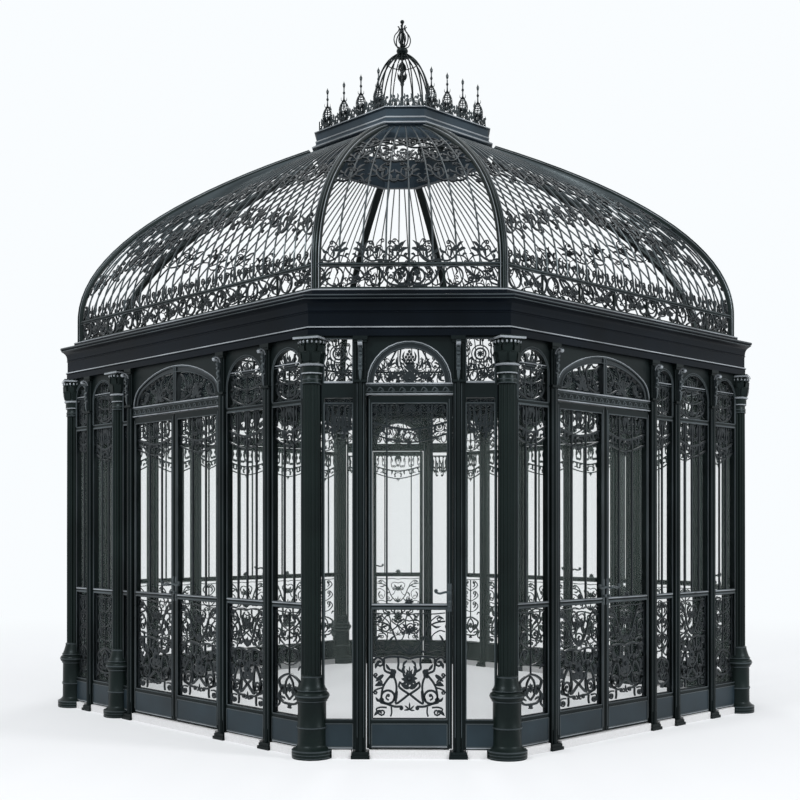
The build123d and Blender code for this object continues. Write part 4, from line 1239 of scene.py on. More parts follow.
def column_edges():
    """The parts of a column in the bright painted-highlight paint: abacus, neck rings and the drops under
    the abacus.
    """
    shapes = [prism(square_plan(ABACUS_HALF), 2.996, 3.010)]
    for radius, height, thick in ((0.083, 2.814, 0.018), (0.073, 2.755, 0.012)):
        shapes.append(disc_bead(radius, height, thick))
    for k in range(CAPITAL_DROPS):
        drop = [(0.097, 2.966), (0.101, 2.976), (0.100, 2.986)]
        shapes.append(shaft_leaf(2 * math.pi * (k + 0.5) / CAPITAL_DROPS, drop, 0.013, 0.008))
    return merge(shapes)


def column_dull_edges():
    """Beads of the foot and neck in the soft painted-highlight paint."""
    return merge([disc_bead(radius, height, thick) for radius, height, thick in (
        (0.106, 0.220, 0.012), (0.121, 0.446, 0.016), (0.107, 0.485, 0.008), (0.142, 0.056, 0.012),
        (0.1435, 0.034, 0.008), (0.1435, 0.012, 0.008), (0.107, 0.410, 0.010), (0.074, 0.581, 0.012),
        (0.069, 2.711, 0.008), (0.069, 2.685, 0.008))])


column = column_shape()
column_bright = column_edges()
column_dull = column_dull_edges()
column_piece = Piece("column_castings")
bay_spot = FRONT_COLUMN - FRONT_SIDE / 2
half_y = END_SIDE / 2 + CORNER_SIDE * DIAGONAL
column_places = [upright(point, math.radians(45 * index - 112.5)) for index, point in enumerate(CORNERS)]
column_places += [upright((bay_spot, -half_y)), upright((-bay_spot, half_y))]
for place in column_places:
    column_piece.add(column, place)
    column_piece.add(column_bright, place, PAINTED_HIGHLIGHT)
    column_piece.add(column_dull, place, PAINTED_SOFT_HIGHLIGHT)
column_piece.finish(cast, smooth_angle=38, replaces=("corner_columns", "bay_columns"))


# Posts

BRACKET_REACH = POST_WIDTH / 2 + 0.018


def post_outline():
    """Plan of a post: square, with a broad reed between two fine ones on its outer and inner faces."""
    half = POST_WIDTH / 2
    outline = []
    for sign in (1, -1):
        face = []
        for centre, radius in ((0.0305, 0.007), (0.0, 0.017), (-0.0305, 0.007)):
            for a in np.linspace(0, math.pi, 7):
                face.append((centre + radius * math.cos(a), half + radius * math.sin(a) * 1.1))
        face = [(half, half)] + face + [(-half, half)]
        outline += [(x * sign, y * sign) for x, y in face]
    return np.array(outline)


def block(width, depth, low, high, inset=0.0):
    """A block whose top edge is eased inward."""
    w, d = width / 2, depth / 2
    base = [(w, -d), (w, d), (-w, d), (-w, -d)]
    rings = [(low, 0.0), (high - inset, 0.0), (high, inset)]
    verts = []
    for height, ease in rings:
        for x, y in base:
            verts.append((x - math.copysign(ease, x), y - math.copysign(ease, y), height))
    return np.array(verts), strip_faces(3, 4)


def console():
    """A small scrolled bracket at the head of a post. Local x points out and y up."""
    stem = scroll([(0.002, -0.235), (0.012, -0.17), (0.006, -0.10), (0.030, -0.048)], (0.010, 1),
                  (0.017, -1), box_section(0.010, 0.030))
    upper = leaf([(0.004, -0.12), (0.022, -0.095), (0.036, -0.090)], 0.020, 0.026)
    lower = leaf([(0.006, -0.20), (0.020, -0.165), (0.030, -0.160)], 0.018, 0.024)
    drop = leaf([(0.004, -0.22), (0.010, -0.27), (0.004, -0.32)], 0.018, 0.022)
    knobs = [placed(ring(0.006, box_section(0.010, 0.022), 8), x=x, y=y) for x,
             y in ((0.018, -0.128), (0.014, -0.206))]
    return merge([stem, upper, lower, drop] + knobs)


def post_shape():
    """A post with its foot plates, collar and head."""
    return merge([
        block(0.134, 0.152, 0.0, 0.024, 0.003), block(0.118, 0.134, 0.024, 0.048, 0.006),
        prism(post_outline(), 0.042, 3.0),
        block(0.096, 0.122, 2.690, 2.710, 0.004),
        block(0.090, 0.114, 2.975, 2.992, 0.0), block(0.104, 0.128, 2.992, 3.0195, 0.0),
    ])


def post_lines():
    """Fine reeds down the outer and inner faces, in the soft painted-highlight paint."""
    shapes = []
    for x in (-0.0225, 0.0225):
        for y in (-1, 1):
            points = np.array([(x, y * (POST_WIDTH / 2 + 0.004), 0.15),
                               (x, y * (POST_WIDTH / 2 + 0.004), 2.68)])
            across = np.array([[1.0, 0.0, 0.0]] * 2)
            away = np.array([[0.0, 1.0, 0.0]] * 2)
            shapes.append(sweep(points, across, away, wire(0.007)))
    return merge(shapes)


bracket_curl = scroll([(0.006, -0.085), (0.016, -0.060), (0.034, -0.046)], None, (0.018, -1),
                      box_section(0.011, 0.032), 5, 0.8)
post = post_shape()
post_reeds = post_lines()
bracket = console()
post_piece = Piece("reeded_posts")
for side in range(8):
    for place in side_posts(side):
        spot = side_frame(side, x=place)
        level = np.eye(4)
        level[:3, 0] = spot[:3, 0]
        level[:3, 1] = -spot[:3, 2]
        level[:3, 2] = (0, 0, 1)
        level[:3, 3] = spot[:3, 3]
        post_piece.add(post, level)
        post_piece.add(post_reeds, level, PAINTED_SOFT_HIGHLIGHT)
        outward = np.eye(4)
        outward[:3, 0] = spot[:3, 2]
        outward[:3, 1] = (0, 0, 1)
        outward[:3, 2] = spot[:3, 0]
        outward[:3, 3] = spot[:3, 3] + spot[:3, 2] * BRACKET_REACH + np.array([0, 0, LINTEL_BOTTOM])
        # The bracket is in the soft painted-highlight paint and its top curl in the bright one.
        post_piece.add(bracket, outward, PAINTED_SOFT_HIGHLIGHT)
        post_piece.add(bracket_curl, outward, PAINTED_HIGHLIGHT)
post_piece.finish(iron, smooth_angle=40, replaces=("posts",))


# Mouldings that run round the building

def ring_moulding(profile, octagon_at):
    """A closed profile of (outward, height) carried round an octagon."""
    rings = []
    for out, height in profile:
        points = octagon_at(out)
        rings.append(np.column_stack([points, np.full(8, height)]))
    verts = np.array(rings)
    count = len(profile)
    faces = []
    for j in range(count):
        after = (j + 1) % count
        for k in range(8):
            nxt = (k + 1) % 8
            faces.append((j * 8 + k, j * 8 + nxt, after * 8 + nxt, after * 8 + k))
    return verts.reshape(-1, 3), np.array(faces)


def arc_points(x0, y0, x1, y1, bulge, samples=8):
    """Points of a shallow curve between two points, bowed to its right by bulge of its length."""
    t = np.linspace(0, 1, samples)
    bow = 4 * bulge * t * (1 - t)
    dx, dy = x1 - x0, y1 - y0
    return [(x0 + dx * s + dy * b, y0 + dy * s - dx * b) for s, b in zip(t, bow)]


def round_profile(out, height, thick, sides=8):
    """The outline of a bead, for a moulding."""
    angles = [2 * math.pi * k / sides for k in range(sides)]
    return [(out + thick / 2 * math.cos(a), height + thick / 2 * math.sin(a)) for a in angles]


def add_beads(piece, octagon_at, beads):
    """Beads of (outward, height, thickness, tone) run round the building."""
    for out, height, thick, tone in beads:
        piece.add(ring_moulding(round_profile(out, height, thick), octagon_at), None, tone)


cornice_profile = [(-0.085, CORNICE_BOTTOM), (0.058, CORNICE_BOTTOM)]
cornice_profile += arc_points(0.060, CORNICE_BOTTOM, 0.060, CORNICE_BOTTOM + 0.020, 0.5, 8)
cornice_profile += [(0.056, CORNICE_BOTTOM + 0.024), (0.056, 3.180)]
cornice_profile += arc_points(0.057, 3.182, 0.057, 3.196, 0.45, 6)
cornice_profile += arc_points(0.060, 3.200, 0.102, 3.272, -0.16, 10)
cornice_profile += [(0.106, 3.276), (0.106, 3.288), (0.115, 3.290), (0.115, 3.303)]
cornice_profile += arc_points(0.115, 3.303, 0.106, CORNICE_TOP, 0.25, 5)
cornice_profile += [(0.0, CORNICE_TOP + 0.004), (0.0, UPSTAND_TOP - 0.012)]
cornice_profile += arc_points(0.0, UPSTAND_TOP - 0.012, -0.010, UPSTAND_TOP, 0.3, 5)
cornice_profile += [(-0.085, UPSTAND_TOP)]
cornice = Piece("cornice_moulding")
cornice.add(ring_moulding(cornice_profile, wall_octagon))
# The cornice's beads are painted highlights, bright and soft.
add_beads(cornice, wall_octagon, [
    (0.062, CORNICE_BOTTOM + 0.012, 0.017, PAINTED_HIGHLIGHT), (0.055, 3.189, 0.008, PAINTED_SOFT_HIGHLIGHT),
    (0.106, 3.280, 0.008, PAINTED_SOFT_HIGHLIGHT),
    (0.112, 3.302, 0.010, PAINTED_SOFT_HIGHLIGHT), (-0.003, UPSTAND_TOP - 0.008, 0.012, PAINTED_HIGHLIGHT),
])
cornice.finish(cornice_paint, smooth_angle=32, replaces=("cornice",))


# Dome

FRONT_BARS = 26
END_BARS = 24
CORNER_BARS = 7
BAR_DEPTH = 0.020
BAND_MARGIN = 0.09


def dome_axes(foot, head, tau):
    """Points, side and outward directions along a dome line."""
    run = np.linalg.norm(head - foot)
    inward = np.array([*(head - foot) / run, 0.0])
    up = np.array([0.0, 0.0, 1.0])
    points = np.array([*foot, FRIEZE_TOP]) + np.outer(run * tau ** 2, inward) + np.outer(DOME_RISE * tau,
                                                                                         up)
    tangent = np.outer(2 * run * tau, inward) + DOME_RISE * up
    tangent /= np.linalg.norm(tangent, axis=1)[:, None]
    normal = np.outer(np.full(len(tau), -DOME_RISE), inward) + np.outer(2 * run * tau, up)
    normal /= np.linalg.norm(normal, axis=1)[:, None]
    side = np.cross(normal, tangent)
    return points, side, normal


def dome_line(foot, head, section, depth, samples=24):
    """A bar from the foot of the dome to the lantern, sunk below the ribs by its depth."""
    tau = np.linspace(0.0, RIB_END, samples)
    points, side, normal = dome_axes(np.asarray(foot), np.asarray(head), tau)
    return sweep(points - normal * depth, side, normal, section)


RIB_END = 0.985
RIB_SECTION = [
    (0.035, -0.040), (0.035, -0.014), (0.031, -0.008), (0.026, -0.005), (0.021, -0.008), (0.017, -0.010),
    (0.014, 0.002), (0.008, 0.011), (0.0, 0.014), (-0.008, 0.011), (-0.014, 0.002),
    (-0.017, -0.010), (-0.021, -0.008), (-0.026, -0.005), (-0.031, -0.008), (-0.035, -0.014),
    (-0.035, -0.040), (0.0, -0.044),
]

ribs = Piece("dome_corner_ribs")
for foot, head in zip(DOME_CORNERS, LANTERN_CORNERS):
    tau = np.linspace(0.0, RIB_END, 40)
    points, side, normal = dome_axes(foot, head, tau)
    base = points[:1].copy()
    base[0, 2] = UPSTAND_TOP
    points = np.vstack([base, points])
    side = np.vstack([side[:1], side])
    normal = np.vstack([normal[:1], normal])
    ribs.add(sweep(points, side, normal, RIB_SECTION))
    # Reeds along each rib in the painted-highlight paints, bright at the sides and soft in the middle.
    for across, out, tone in ((-0.026, -0.004, PAINTED_HIGHLIGHT), (-0.009, 0.011, PAINTED_SOFT_HIGHLIGHT), (0.009, 0.011, PAINTED_SOFT_HIGHLIGHT),
                              (0.026, -0.004, PAINTED_HIGHLIGHT)):
        reed = sweep(points[::2] + side[::2] * across + normal[::2] * out, side[::2], normal[::2],
                     wire(0.006))
        ribs.add(reed, None, tone)
ribs.finish(cast, smooth_angle=35, replaces=("dome_ribs",))

BAR_SECTION = round_section(0.0135, 0.015, 6)
# Every glazing bar is in the soft painted-highlight paint.
dome_bars = Piece("dome_glazing_bars")
for side in range(8):
    count = [FRONT_BARS, CORNER_BARS, END_BARS, CORNER_BARS][side % 4]
    feet = (DOME_CORNERS[side], DOME_CORNERS[(side + 1) % 8])
    heads = (LANTERN_CORNERS[side], LANTERN_CORNERS[(side + 1) % 8])
    for k in range(1, count + 1):
        share = k / (count + 1)
        foot = feet[0] + (feet[1] - feet[0]) * share
        head = heads[0] + (heads[1] - heads[0]) * share
        dome_bars.add(dome_line(foot, head, BAR_SECTION, BAR_DEPTH), None, PAINTED_SOFT_HIGHLIGHT)
dome_bars.finish(iron, smooth_angle=60, replaces=(
    "dome_panel_front", "dome_panel_right", "dome_panel_back", "dome_panel_left", "dome_corner_panels"))


def on_dome(shape, side, height, x):
    """Bends a flat motif onto a side of the dome. Its y runs up the slope from a height above the ground."""
    verts, faces = shape
    feet = (DOME_CORNERS[side % 8], DOME_CORNERS[(side + 1) % 8])
    heads = (LANTERN_CORNERS[side % 8], LANTERN_CORNERS[(side + 1) % 8])
    middle_foot = (feet[0] + feet[1]) / 2
    middle_head = (heads[0] + heads[1]) / 2
    run = np.linalg.norm(middle_head - middle_foot)
    table_tau = np.linspace(0, 1, 400)
    step = np.sqrt((2 * run * table_tau) ** 2 + DOME_RISE ** 2)
    length = np.concatenate([[0.0], np.cumsum((step[1:] + step[:-1]) / 2 * np.diff(table_tau))])
    tau_base = (height - FRIEZE_TOP) / DOME_RISE
    start = np.interp(tau_base, table_tau, length)
    tau = np.interp(start + verts[:, 1], length, table_tau)
    foot_width = np.linalg.norm(feet[1] - feet[0])
    head_width = np.linalg.norm(heads[1] - heads[0])
    base_width = foot_width + (head_width - foot_width) * tau_base ** 2
    share = 0.5 + (verts[:, 0] + x) / base_width
    foot = feet[0] + np.outer(share, feet[1] - feet[0])
    head = heads[0] + np.outer(share, heads[1] - heads[0])
    plan = foot + (head - foot) * (tau ** 2)[:, None]
    out = middle_foot - middle_head
    out = out / np.linalg.norm(out)
    normal = np.column_stack([
        np.full(len(tau), DOME_RISE * out[0]), np.full(len(tau), DOME_RISE * out[1]), 2 * run * tau,
    ])
    normal /= np.linalg.norm(normal, axis=1)[:, None]
    spots = np.column_stack([plan, FRIEZE_TOP + DOME_RISE * tau])
    return spots + normal * (verts[:, 2] - BAR_DEPTH)[:, None], faces


def width_at(side, height):
    """How wide a side of the dome is at a height above the ground."""
    tau = (height - FRIEZE_TOP) / DOME_RISE
    foot = np.linalg.norm(DOME_CORNERS[(side + 1) % 8] - DOME_CORNERS[side % 8])
    head = np.linalg.norm(LANTERN_CORNERS[(side + 1) % 8] - LANTERN_CORNERS[side % 8])
    return foot + (head - foot) * tau ** 2


def dome_band(piece, sides, height, reach, pitch, motif, rise=0.0):
    """A row of motifs on sides of the dome, which may rise to the middle of the side."""
    for side in sides:
        count = max(1, round((width_at(side, height) - BAND_MARGIN) / pitch))
        for k in range(count):
            share = (k + 0.5) / count
            level = height + rise * math.sin(math.pi * share)
            width = width_at(side, level) - BAND_MARGIN
            unit = motif(width / count, reach)
            if k % 2:
                unit = mirrored(unit)
            piece.add(on_dome(unit, side, level, width * (share - 0.5)))


LONG_SIDES = (0, 2, 4, 6)
CUT_SIDES = (1, 3, 5, 7)
crest = Piece("dome_leaf_cresting")
dome_band(crest, LONG_SIDES, FRIEZE_TOP + 0.006, 0.130, 0.125, crest_unit)
crest.finish(scrollwork)

middle_band = Piece("dome_middle_scrolls")
dome_band(middle_band, LONG_SIDES, 3.76, 0.22, 0.23, spray_unit, 0.38)
dome_band(middle_band, CUT_SIDES, FRIEZE_TOP + 0.006, 0.17, 0.21, spray_unit)
middle_band.finish(scrollwork)

head_band = Piece("dome_head_scrolls")
dome_band(head_band, LONG_SIDES, 4.34, 0.32, 0.32, spray_unit, 0.12)
dome_band(head_band, CUT_SIDES, 4.27, 0.34, 0.24, spray_unit)
dome_band(head_band, CUT_SIDES, 4.50, 0.36, 0.21, spray_unit)
dome_band(head_band, CUT_SIDES, 4.71, 0.40, 0.24, spray_unit)
head_band.finish(scrollwork)


# Frieze

FRIEZE_PITCH = 0.43
FRIEZE_RAIL_CUT = 0.033
FRIEZE_HEIGHT = FRIEZE_TOP - UPSTAND_TOP - 2 * FRIEZE_RAIL
frieze_middle = (FRIEZE_TOP + UPSTAND_TOP) / 2
frieze = Piece("frieze_scrolls")
for side in range(8):
    length = side_length(side) - 2 * DOME_INSET * MITRE - RIB_WIDTH
    count = 3 if side % 2 else round(length / FRIEZE_PITCH)
    unit = frieze_unit(length / count, FRIEZE_HEIGHT)
    heart = heart_unit(length / count, FRIEZE_HEIGHT)
    for k in range(count):
        x = RIB_WIDTH / 2 + length * (k + 0.5) / count
        place = side_frame(side, DOME_CORNERS, x, frieze_middle, -FRIEZE_DEPTH / 2)
        piece_shape = heart if side % 2 and k == 1 else unit
        frieze.add(piece_shape, place)
    for y, thick in ((FRIEZE_TOP - 0.010, 0.010), (FRIEZE_TOP - 0.030, 0.008),
                     (UPSTAND_TOP + 0.008, 0.010)):
        rail = straight(0.0, 0.0, side_length(side) - FRIEZE_RAIL_CUT, 0.0, wire(thick))
        frieze.add(rail, side_frame(side, DOME_CORNERS, 0.0, y, 0.0), PAINTED_SOFT_HIGHLIGHT)
frieze.finish(scrollwork)


# Lantern and its cresting

SPIRE_INSET = 0.030
SPIRE_RING = lantern_octagon(-SPIRE_INSET)
SPIRES = 4
LOW_CREST_HEIGHT = 0.130

lantern_profile = [(-0.060, LANTERN_BOTTOM), (-0.004, LANTERN_BOTTOM), (-0.004, 5.292)]
lantern_profile += arc_points(0.010, 5.296, 0.034, 5.304, 0.25, 5)
lantern_profile += [(0.035, 5.316)]
lantern_profile += arc_points(0.035, 5.318, 0.002, 5.358, -0.22, 7)
lantern_profile += [(0.002, 5.374), (-0.004, 5.380), (-0.004, 5.440)]
lantern_profile += arc_points(0.000, 5.442, 0.014, 5.450, -0.2, 4)
lantern_profile += [(0.0165, 5.452), (0.0165, LANTERN_TOP - 0.002), (0.012, LANTERN_TOP),
                    (-0.060, LANTERN_TOP)]
lantern = Piece("lantern_moulding")
lantern.add(ring_moulding(lantern_profile, lantern_octagon))
# The lantern's beads are in the bright painted-highlight paint.
add_beads(lantern, lantern_octagon, [
    (0.033, 5.309, 0.016, PAINTED_HIGHLIGHT), (0.001, 5.366, 0.016, PAINTED_HIGHLIGHT), (0.013, 5.456, 0.012, PAINTED_HIGHLIGHT),
])
lantern.finish(lantern_paint, smooth_angle=32, replaces=("lantern",))


def hoop(radius, height, section, sides=48):
    """A level ring round the axis."""
    angle = 2 * math.pi * np.arange(sides) / sides
    out = np.column_stack([np.cos(angle), np.sin(angle), np.zeros(sides)])
    points = out * radius + np.array([0, 0, height])
    up = np.tile([0.0, 0.0, 1.0], (sides, 1))
    return sweep(points, -out, up, section, closed=True)


def spire():
    """A filigree pinnacle: an open vase of fine bars, curls round it, and a stem with knobs."""
    h = SPIRE_HEIGHT
    outline = smooth_path([(0.044, 0.0), (0.034, 0.10 * h), (0.044, 0.24 * h), (0.042, 0.38 * h),
                           (0.012, 0.54 * h)], 3)
    shapes = []
    for k in range(8):
        angle = math.pi * k / 4
        shapes.append(meridian(angle, outline, box_section(0.007, 0.006)))
        shapes.append(shaft_leaf(angle + math.pi / 8,
                                 [(0.034, 0.20 * h), (0.046, 0.25 * h), (0.046, 0.31 * h)], 0.016, 0.005))
        if k % 2:
            shapes.append(shaft_leaf(angle, [(0.014, 0.52 * h), (0.026, 0.56 * h), (0.026, 0.62 * h)],
                                     0.012, 0.005))
    for radius, height in ((0.035, 0.10 * h), (0.045, 0.33 * h), (0.034, 0.44 * h)):
        shapes.append(hoop(radius, height, box_section(0.006, 0.007), 12))
    shapes.append(lathe([
        (0.004, 0.0), (0.004, 0.50 * h), (0.014, 0.54 * h), (0.007, 0.58 * h), (0.006, 0.68 * h),
        (0.013, 0.72 * h),
        (0.006, 0.76 * h), (0.006, 0.84 * h), (0.012, 0.88 * h), (0.013, 0.92 * h), (0.003, 0.97 * h),
        (0.001, 0.995 * h),
    ], 9))
    return merge(shapes)


def low_crest(width):
    """The hedge of curls between the pinnacles: two tiers of small rings and curls, and leaf tips above."""
    w, h = width / 2, LOW_CREST_HEIGHT
    count = max(2, round(width / 0.058))
    pitch = width / count
    shapes = []
    for k in range(count):
        x = width * ((k + 0.5) / count - 0.5)
        lean = 1 if k % 2 else -1
        shapes.append(scroll([(x - 0.30 * pitch * lean, 0.0), (x + 0.10 * pitch * lean, 0.26 * h),
                              (x + 0.02 * pitch * lean, 0.52 * h)],
                             None, (0.30 * pitch, lean), THIN_BAR))
        shapes.append(placed(ring(0.24 * pitch, THIN_BAR, 8), x=x + 0.40 * pitch * lean, y=0.22 * h))
        shapes.append(scroll([(x + 0.5 * pitch, 0.30 * h), (x + 0.30 * pitch, 0.56 * h),
                              (x + 0.44 * pitch, 0.74 * h)],
                             None, (0.20 * pitch, -lean), THIN_BAR))
        shapes.append(leaf([(x - 0.20 * pitch, 0.56 * h), (x - 0.06 * pitch, 0.80 * h),
                            (x - 0.20 * pitch, 1.0 * h)], 0.015))
        shapes.append(leaf([(x + 0.24 * pitch, 0.04 * h), (x + 0.04 * pitch, 0.12 * h),
                            (x - 0.16 * pitch, 0.06 * h)], 0.013))
    shapes.append(straight(-w, 0.44 * h, w, 0.44 * h, BEAD))
    return merge(shapes)


# The hedge of curls between the pinnacles is in the soft painted-highlight paint.
cresting = Piece("lantern_cresting")
pinnacle = spire()
for side in range(8):
    start, stop = SPIRE_RING[side], SPIRE_RING[(side + 1) % 8]
    length = np.linalg.norm(stop - start)
    cresting.add(low_crest(length - 0.02), side_frame(side, SPIRE_RING, length / 2, LANTERN_TOP), PAINTED_SOFT_HIGHLIGHT)
    if side % 2 == 0:
        for k in range(SPIRES):
            cresting.add(pinnacle, upright(start + (stop - start) * (k + 0.5) / SPIRES, 0.0, LANTERN_TOP))
cresting_rail = [(-0.042, LANTERN_TOP), (-0.018, LANTERN_TOP), (-0.018, LANTERN_TOP + 0.010),
                 (-0.024, LANTERN_TOP + 0.016),
                 (-0.036, LANTERN_TOP + 0.016), (-0.042, LANTERN_TOP + 0.010)]
cresting.add(ring_moulding(cresting_rail, lantern_octagon))
cresting.finish(scrollwork, replaces=("cresting",))


# Cupola and finial

ARM = box_section(0.022, 0.016)
ARM_INSET = 0.042
ARM_HEIGHT = LANTERN_TOP + 0.010
HOOP_SAMPLE = 48


def cupola_line(samples=26):
    """The bird-cage curve from the base ring to the neck."""
    base = np.array([CUPOLA_RADIUS, LANTERN_TOP + 0.01])
    belly = np.array([CUPOLA_RADIUS + 0.010, LANTERN_TOP + 0.34])
    shoulder = np.array([CUPOLA_RADIUS - 0.020, CUPOLA_TOP - 0.115])
    neck = np.array([CUPOLA_NECK, CUPOLA_TOP])
    t = np.linspace(0, 1, samples)[:, None]
    low = (1 - t) ** 3 * base + 3 * t * (1 - t) ** 2 * belly
    return low + 3 * t ** 2 * (1 - t) * shoulder + t ** 3 * neck


cupola = Piece("cupola_cage")
for k in range(CUPOLA_RIBS):
    cupola.add(meridian(2 * math.pi * k / CUPOLA_RIBS, cupola_line(), round_section(0.012, 0.016)))
for height in (LANTERN_TOP + 0.012, LANTERN_TOP + 0.10):
    cupola.add(hoop(CUPOLA_RADIUS, height, round_section(0.016, 0.020)))
radius, height = cupola_line(60)[HOOP_SAMPLE]
cupola.add(hoop(radius, height, round_section(0.008, 0.010)))
crown_leaf = smooth_path([(CUPOLA_RADIUS, LANTERN_TOP + 0.10), (CUPOLA_RADIUS + 0.016, LANTERN_TOP + 0.19),
                          (CUPOLA_RADIUS + 0.004, LANTERN_TOP + 0.27)], 3)
curled = [(CUPOLA_RADIUS + 0.004, LANTERN_TOP + 0.02), (CUPOLA_RADIUS + 0.030, LANTERN_TOP + 0.08),
          (CUPOLA_RADIUS + 0.026, LANTERN_TOP + 0.15)]
for k in range(2 * CUPOLA_RIBS):
    cupola.add(shaft_leaf(math.pi * k / CUPOLA_RIBS, crown_leaf, 0.036, 0.008))
    cupola.add(shaft_leaf(math.pi * (k + 0.5) / CUPOLA_RIBS, curled, 0.030, 0.008))
cupola.add(lathe([
    (0.014, LANTERN_TOP), (0.009, LANTERN_TOP + 0.20), (0.009, 5.94), (0.020, 5.97), (0.010, 6.00),
    (0.009, 6.06),
    (0.024, 6.10), (0.012, 6.14), (0.010, 6.20), (0.030, 6.215), (0.052, 6.222), (0.056, 6.234),
    (0.050, 6.244), (0.010, 6.251),
], 20))
for k in range(6):
    cupola.add(shaft_leaf(math.pi * k / 3, [(0.010, 5.98), (0.040, 6.03), (0.046, 6.08)], 0.026, 0.006))
    cupola.add(shaft_leaf(math.pi * (k + 0.5) / 3, [(0.010, 6.18), (0.034, 6.14), (0.038, 6.09)], 0.022,
                          0.006))
arm_x = LANTERN_FRONT / 2 + LANTERN_CORNER * DIAGONAL - ARM_INSET
arm_y = LANTERN_END / 2 + LANTERN_CORNER * DIAGONAL - ARM_INSET
for tip in ((arm_x, 0.0), (0.0, arm_y)):
    tip = np.array([*tip, 0.0])
    points = np.array([-tip, tip]) + np.array([0, 0, ARM_HEIGHT])
    along = tip / np.linalg.norm(tip)
    up = np.array([[0.0, 0.0, 1.0]] * 2)
    cupola.add(sweep(points, np.cross(up, along), up, ARM))
cupola.finish(iron, smooth_angle=50, replaces=("cupola",))

finial = Piece("finial_tulip")
finial.add(lathe([
    (0.010, 6.249), (0.040, 6.250), (0.046, 6.258), (0.042, 6.266), (0.052, 6.276), (0.057, 6.290),
    (0.052, 6.304),
    (0.040, 6.312), (0.028, 6.318), (0.020, 6.330), (0.024, 6.338), (0.018, 6.346), (0.010, 6.352),
    (0.008, 6.380), (0.008, 6.470), (0.013, 6.500), (0.007, 6.520), (0.007, 6.540), (0.012, 6.548),
    (0.006, 6.556),
    (0.014, 6.560), (0.0195, 6.568), (0.020, 6.576), (0.0175, 6.584), (0.010, 6.591), (0.001, 6.5935),
], 28))
for k in range(6):
    petal = smooth_path([
        (0.014, 6.318), (0.060, 6.336), (0.082, 6.390), (0.072, 6.440), (0.040, 6.480), (0.030, 6.512),
        (0.044, 6.528),
    ], 6)
    finial.add(meridian(math.pi * k / 3, petal, round_section(0.014, 0.011)))
    inner = smooth_path([(0.010, 6.350), (0.034, 6.390), (0.030, 6.440), (0.010, 6.476)], 6)
    finial.add(meridian(math.pi * (k + 0.5) / 3, inner, round_section(0.011, 0.009)))
finial.finish(iron, smooth_angle=50, replaces=("finial",))


# Finish of the frame's own nodes

def paint(node, material):
    """Gives a node of the frame one material."""
    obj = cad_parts[node]
    if not obj.material_slots:
        obj.data.materials.append(material)
    for one in obj.material_slots:
        one.material = material


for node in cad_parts:
    if node.endswith("glass"):
        paint(node, glass)
    elif node == "kerb":
        paint(node, stone)
    elif node == "lintel":
        paint(node, cornice_paint)
    elif node.endswith(("screens", "fanlights", "doors")) or "door" in node:
        paint(node, iron)
    else:
        paint(node, cast)


# Stage, light and camera

PALE_SKY = (0.95, 0.98, 1.0, 1)


def flat_material(name, colour):
    """Plain matt paint."""
    mat, nodes, links, shader = new_material(name)
    fill(shader, {"Base Color": (*colour, 1), "Roughness": 0.9})
    return mat, nodes, links, shader


def seen_directly(nodes, links):
    """1 where a ray comes straight from the eye, or by gloss or through glass."""
    path = nodes.new("ShaderNodeLightPath")
    either = nodes.new("ShaderNodeMath")
    either.operation = "MAXIMUM"
    every = nodes.new("ShaderNodeMath")
    every.operation = "MAXIMUM"
    join(links, [
        (path, "Is Camera Ray", either, 0), (path, "Is Glossy Ray", either, 1),
        (either, 0, every, 0), (path, "Is Transmission Ray", every, 1),
    ])
    return every.outputs[0]


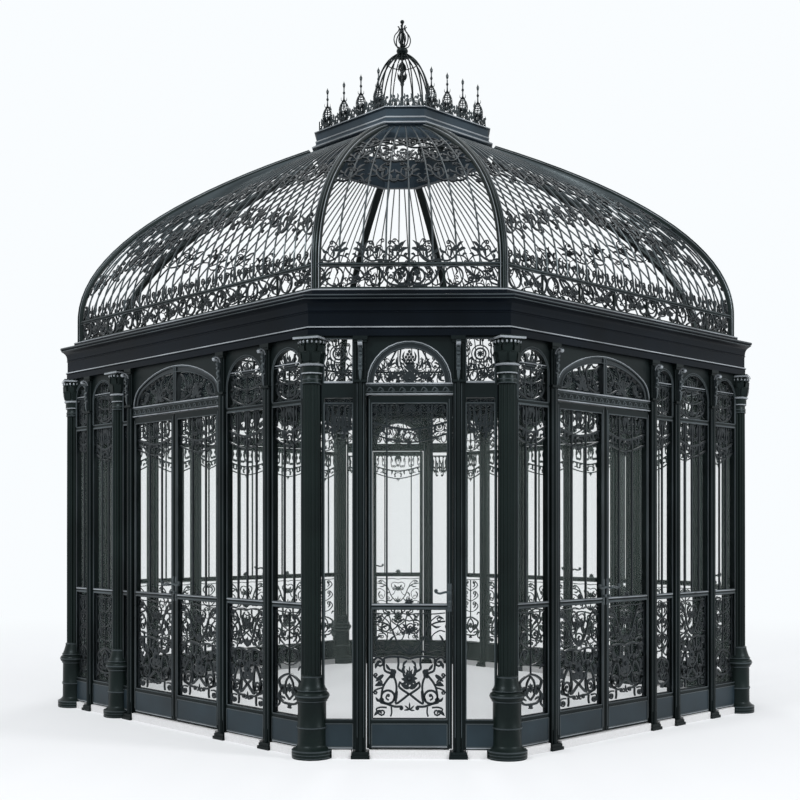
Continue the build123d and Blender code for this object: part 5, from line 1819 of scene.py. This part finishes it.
def floor_material():
    """Pale paint near the object, which passes into the plain white backdrop further away. Even near the
    object, where seen directly, the floor is partly a glow, which lifts the shadows on it: painted light.
    """
    mat, nodes, links, shader = flat_material("floor_paint", (0.80, 0.80, 0.82))
    coords = nodes.new("ShaderNodeTexCoord")
    length = nodes.new("ShaderNodeVectorMath")
    length.operation = "LENGTH"
    fade = nodes.new("ShaderNodeMapRange")
    fade.interpolation_type = "SMOOTHSTEP"
    # To Min keeps the floor 0.45 glow near the object: painted light that softens the shadows on it.
    fill(fade, {"From Min": 4.0, "From Max": 13.0, "To Min": 0.45})
    direct = nodes.new("ShaderNodeMath")
    direct.operation = "MULTIPLY"
    glow = nodes.new("ShaderNodeEmission")
    fill(glow, {"Color": PALE_SKY})
    blend = nodes.new("ShaderNodeMixShader")
    links.new(coords.outputs["Object"], length.inputs[0])
    links.new(seen_directly(nodes, links), direct.inputs[1])
    join(links, [
        (length, "Value", fade, "Value"), (fade, "Result", direct, 0), (direct, 0, blend, "Fac"),
        (shader, "BSDF", blend, 1), (glow, "Emission", blend, 2),
        (blend, "Shader", nodes["Material Output"], "Surface"),
    ])
    return mat


FLOOR = 60.0
floor_mesh = bpy.data.meshes.new("floor")
floor_mesh.from_pydata([(-FLOOR, -FLOOR, 0), (FLOOR, -FLOOR, 0), (FLOOR, FLOOR, 0), (-FLOOR, FLOOR, 0)], [],
                       [(0, 1, 2, 3)])
floor_mesh.materials.append(floor_material())
floor = bpy.data.objects.new("floor", floor_mesh)
bpy.context.scene.collection.objects.link(floor)


def area_light(name, location, target, size, power):
    """A round soft lamp that points at a target."""
    light = bpy.data.lights.new(name, "AREA")
    light.shape = "DISK"
    light.size = size
    light.energy = power
    obj = bpy.data.objects.new(name, light)
    obj.location = location
    obj.rotation_euler = (Vector(target) - Vector(location)).to_track_quat("-Z", "Y").to_euler()
    bpy.context.scene.collection.objects.link(obj)


area_light("key", (2.0, -14.0, 12.0), (0, 0, 2.5), 3.0, 1500)
area_light("side", (14.0, 3.0, 9.0), (0, 0, 2.5), 3.0, 1100)
area_light("rear", (-10.0, 10.0, 12.0), (0, 0, 3.0), 4.0, 900)

world = bpy.data.worlds.new("sky")
bpy.context.scene.world = world
world.use_nodes = True
sky_nodes, sky_links = world.node_tree.nodes, world.node_tree.links
background = sky_nodes["Background"]
fill(background, {"Color": PALE_SKY})
level = map_range(sky_nodes, 0.62, 1.0)
sky_links.new(seen_directly(sky_nodes, sky_links), level.inputs["Value"])
sky_links.new(level.outputs["Result"], background.inputs["Strength"])

camera_data = bpy.data.cameras.new("camera")
camera = bpy.data.objects.new("camera", camera_data)
bpy.context.scene.collection.objects.link(camera)
camera.location = (8.329, -8.034, 1.638)
camera.rotation_euler = (math.radians(90), 0, math.radians(46.14))
camera_data.lens = 53.52
camera_data.sensor_width = 36.0
camera_data.shift_y = 0.1617
camera_data.clip_end = 300
bpy.context.scene.camera = camera

settings = bpy.context.scene.view_settings
settings.view_transform = "Standard"
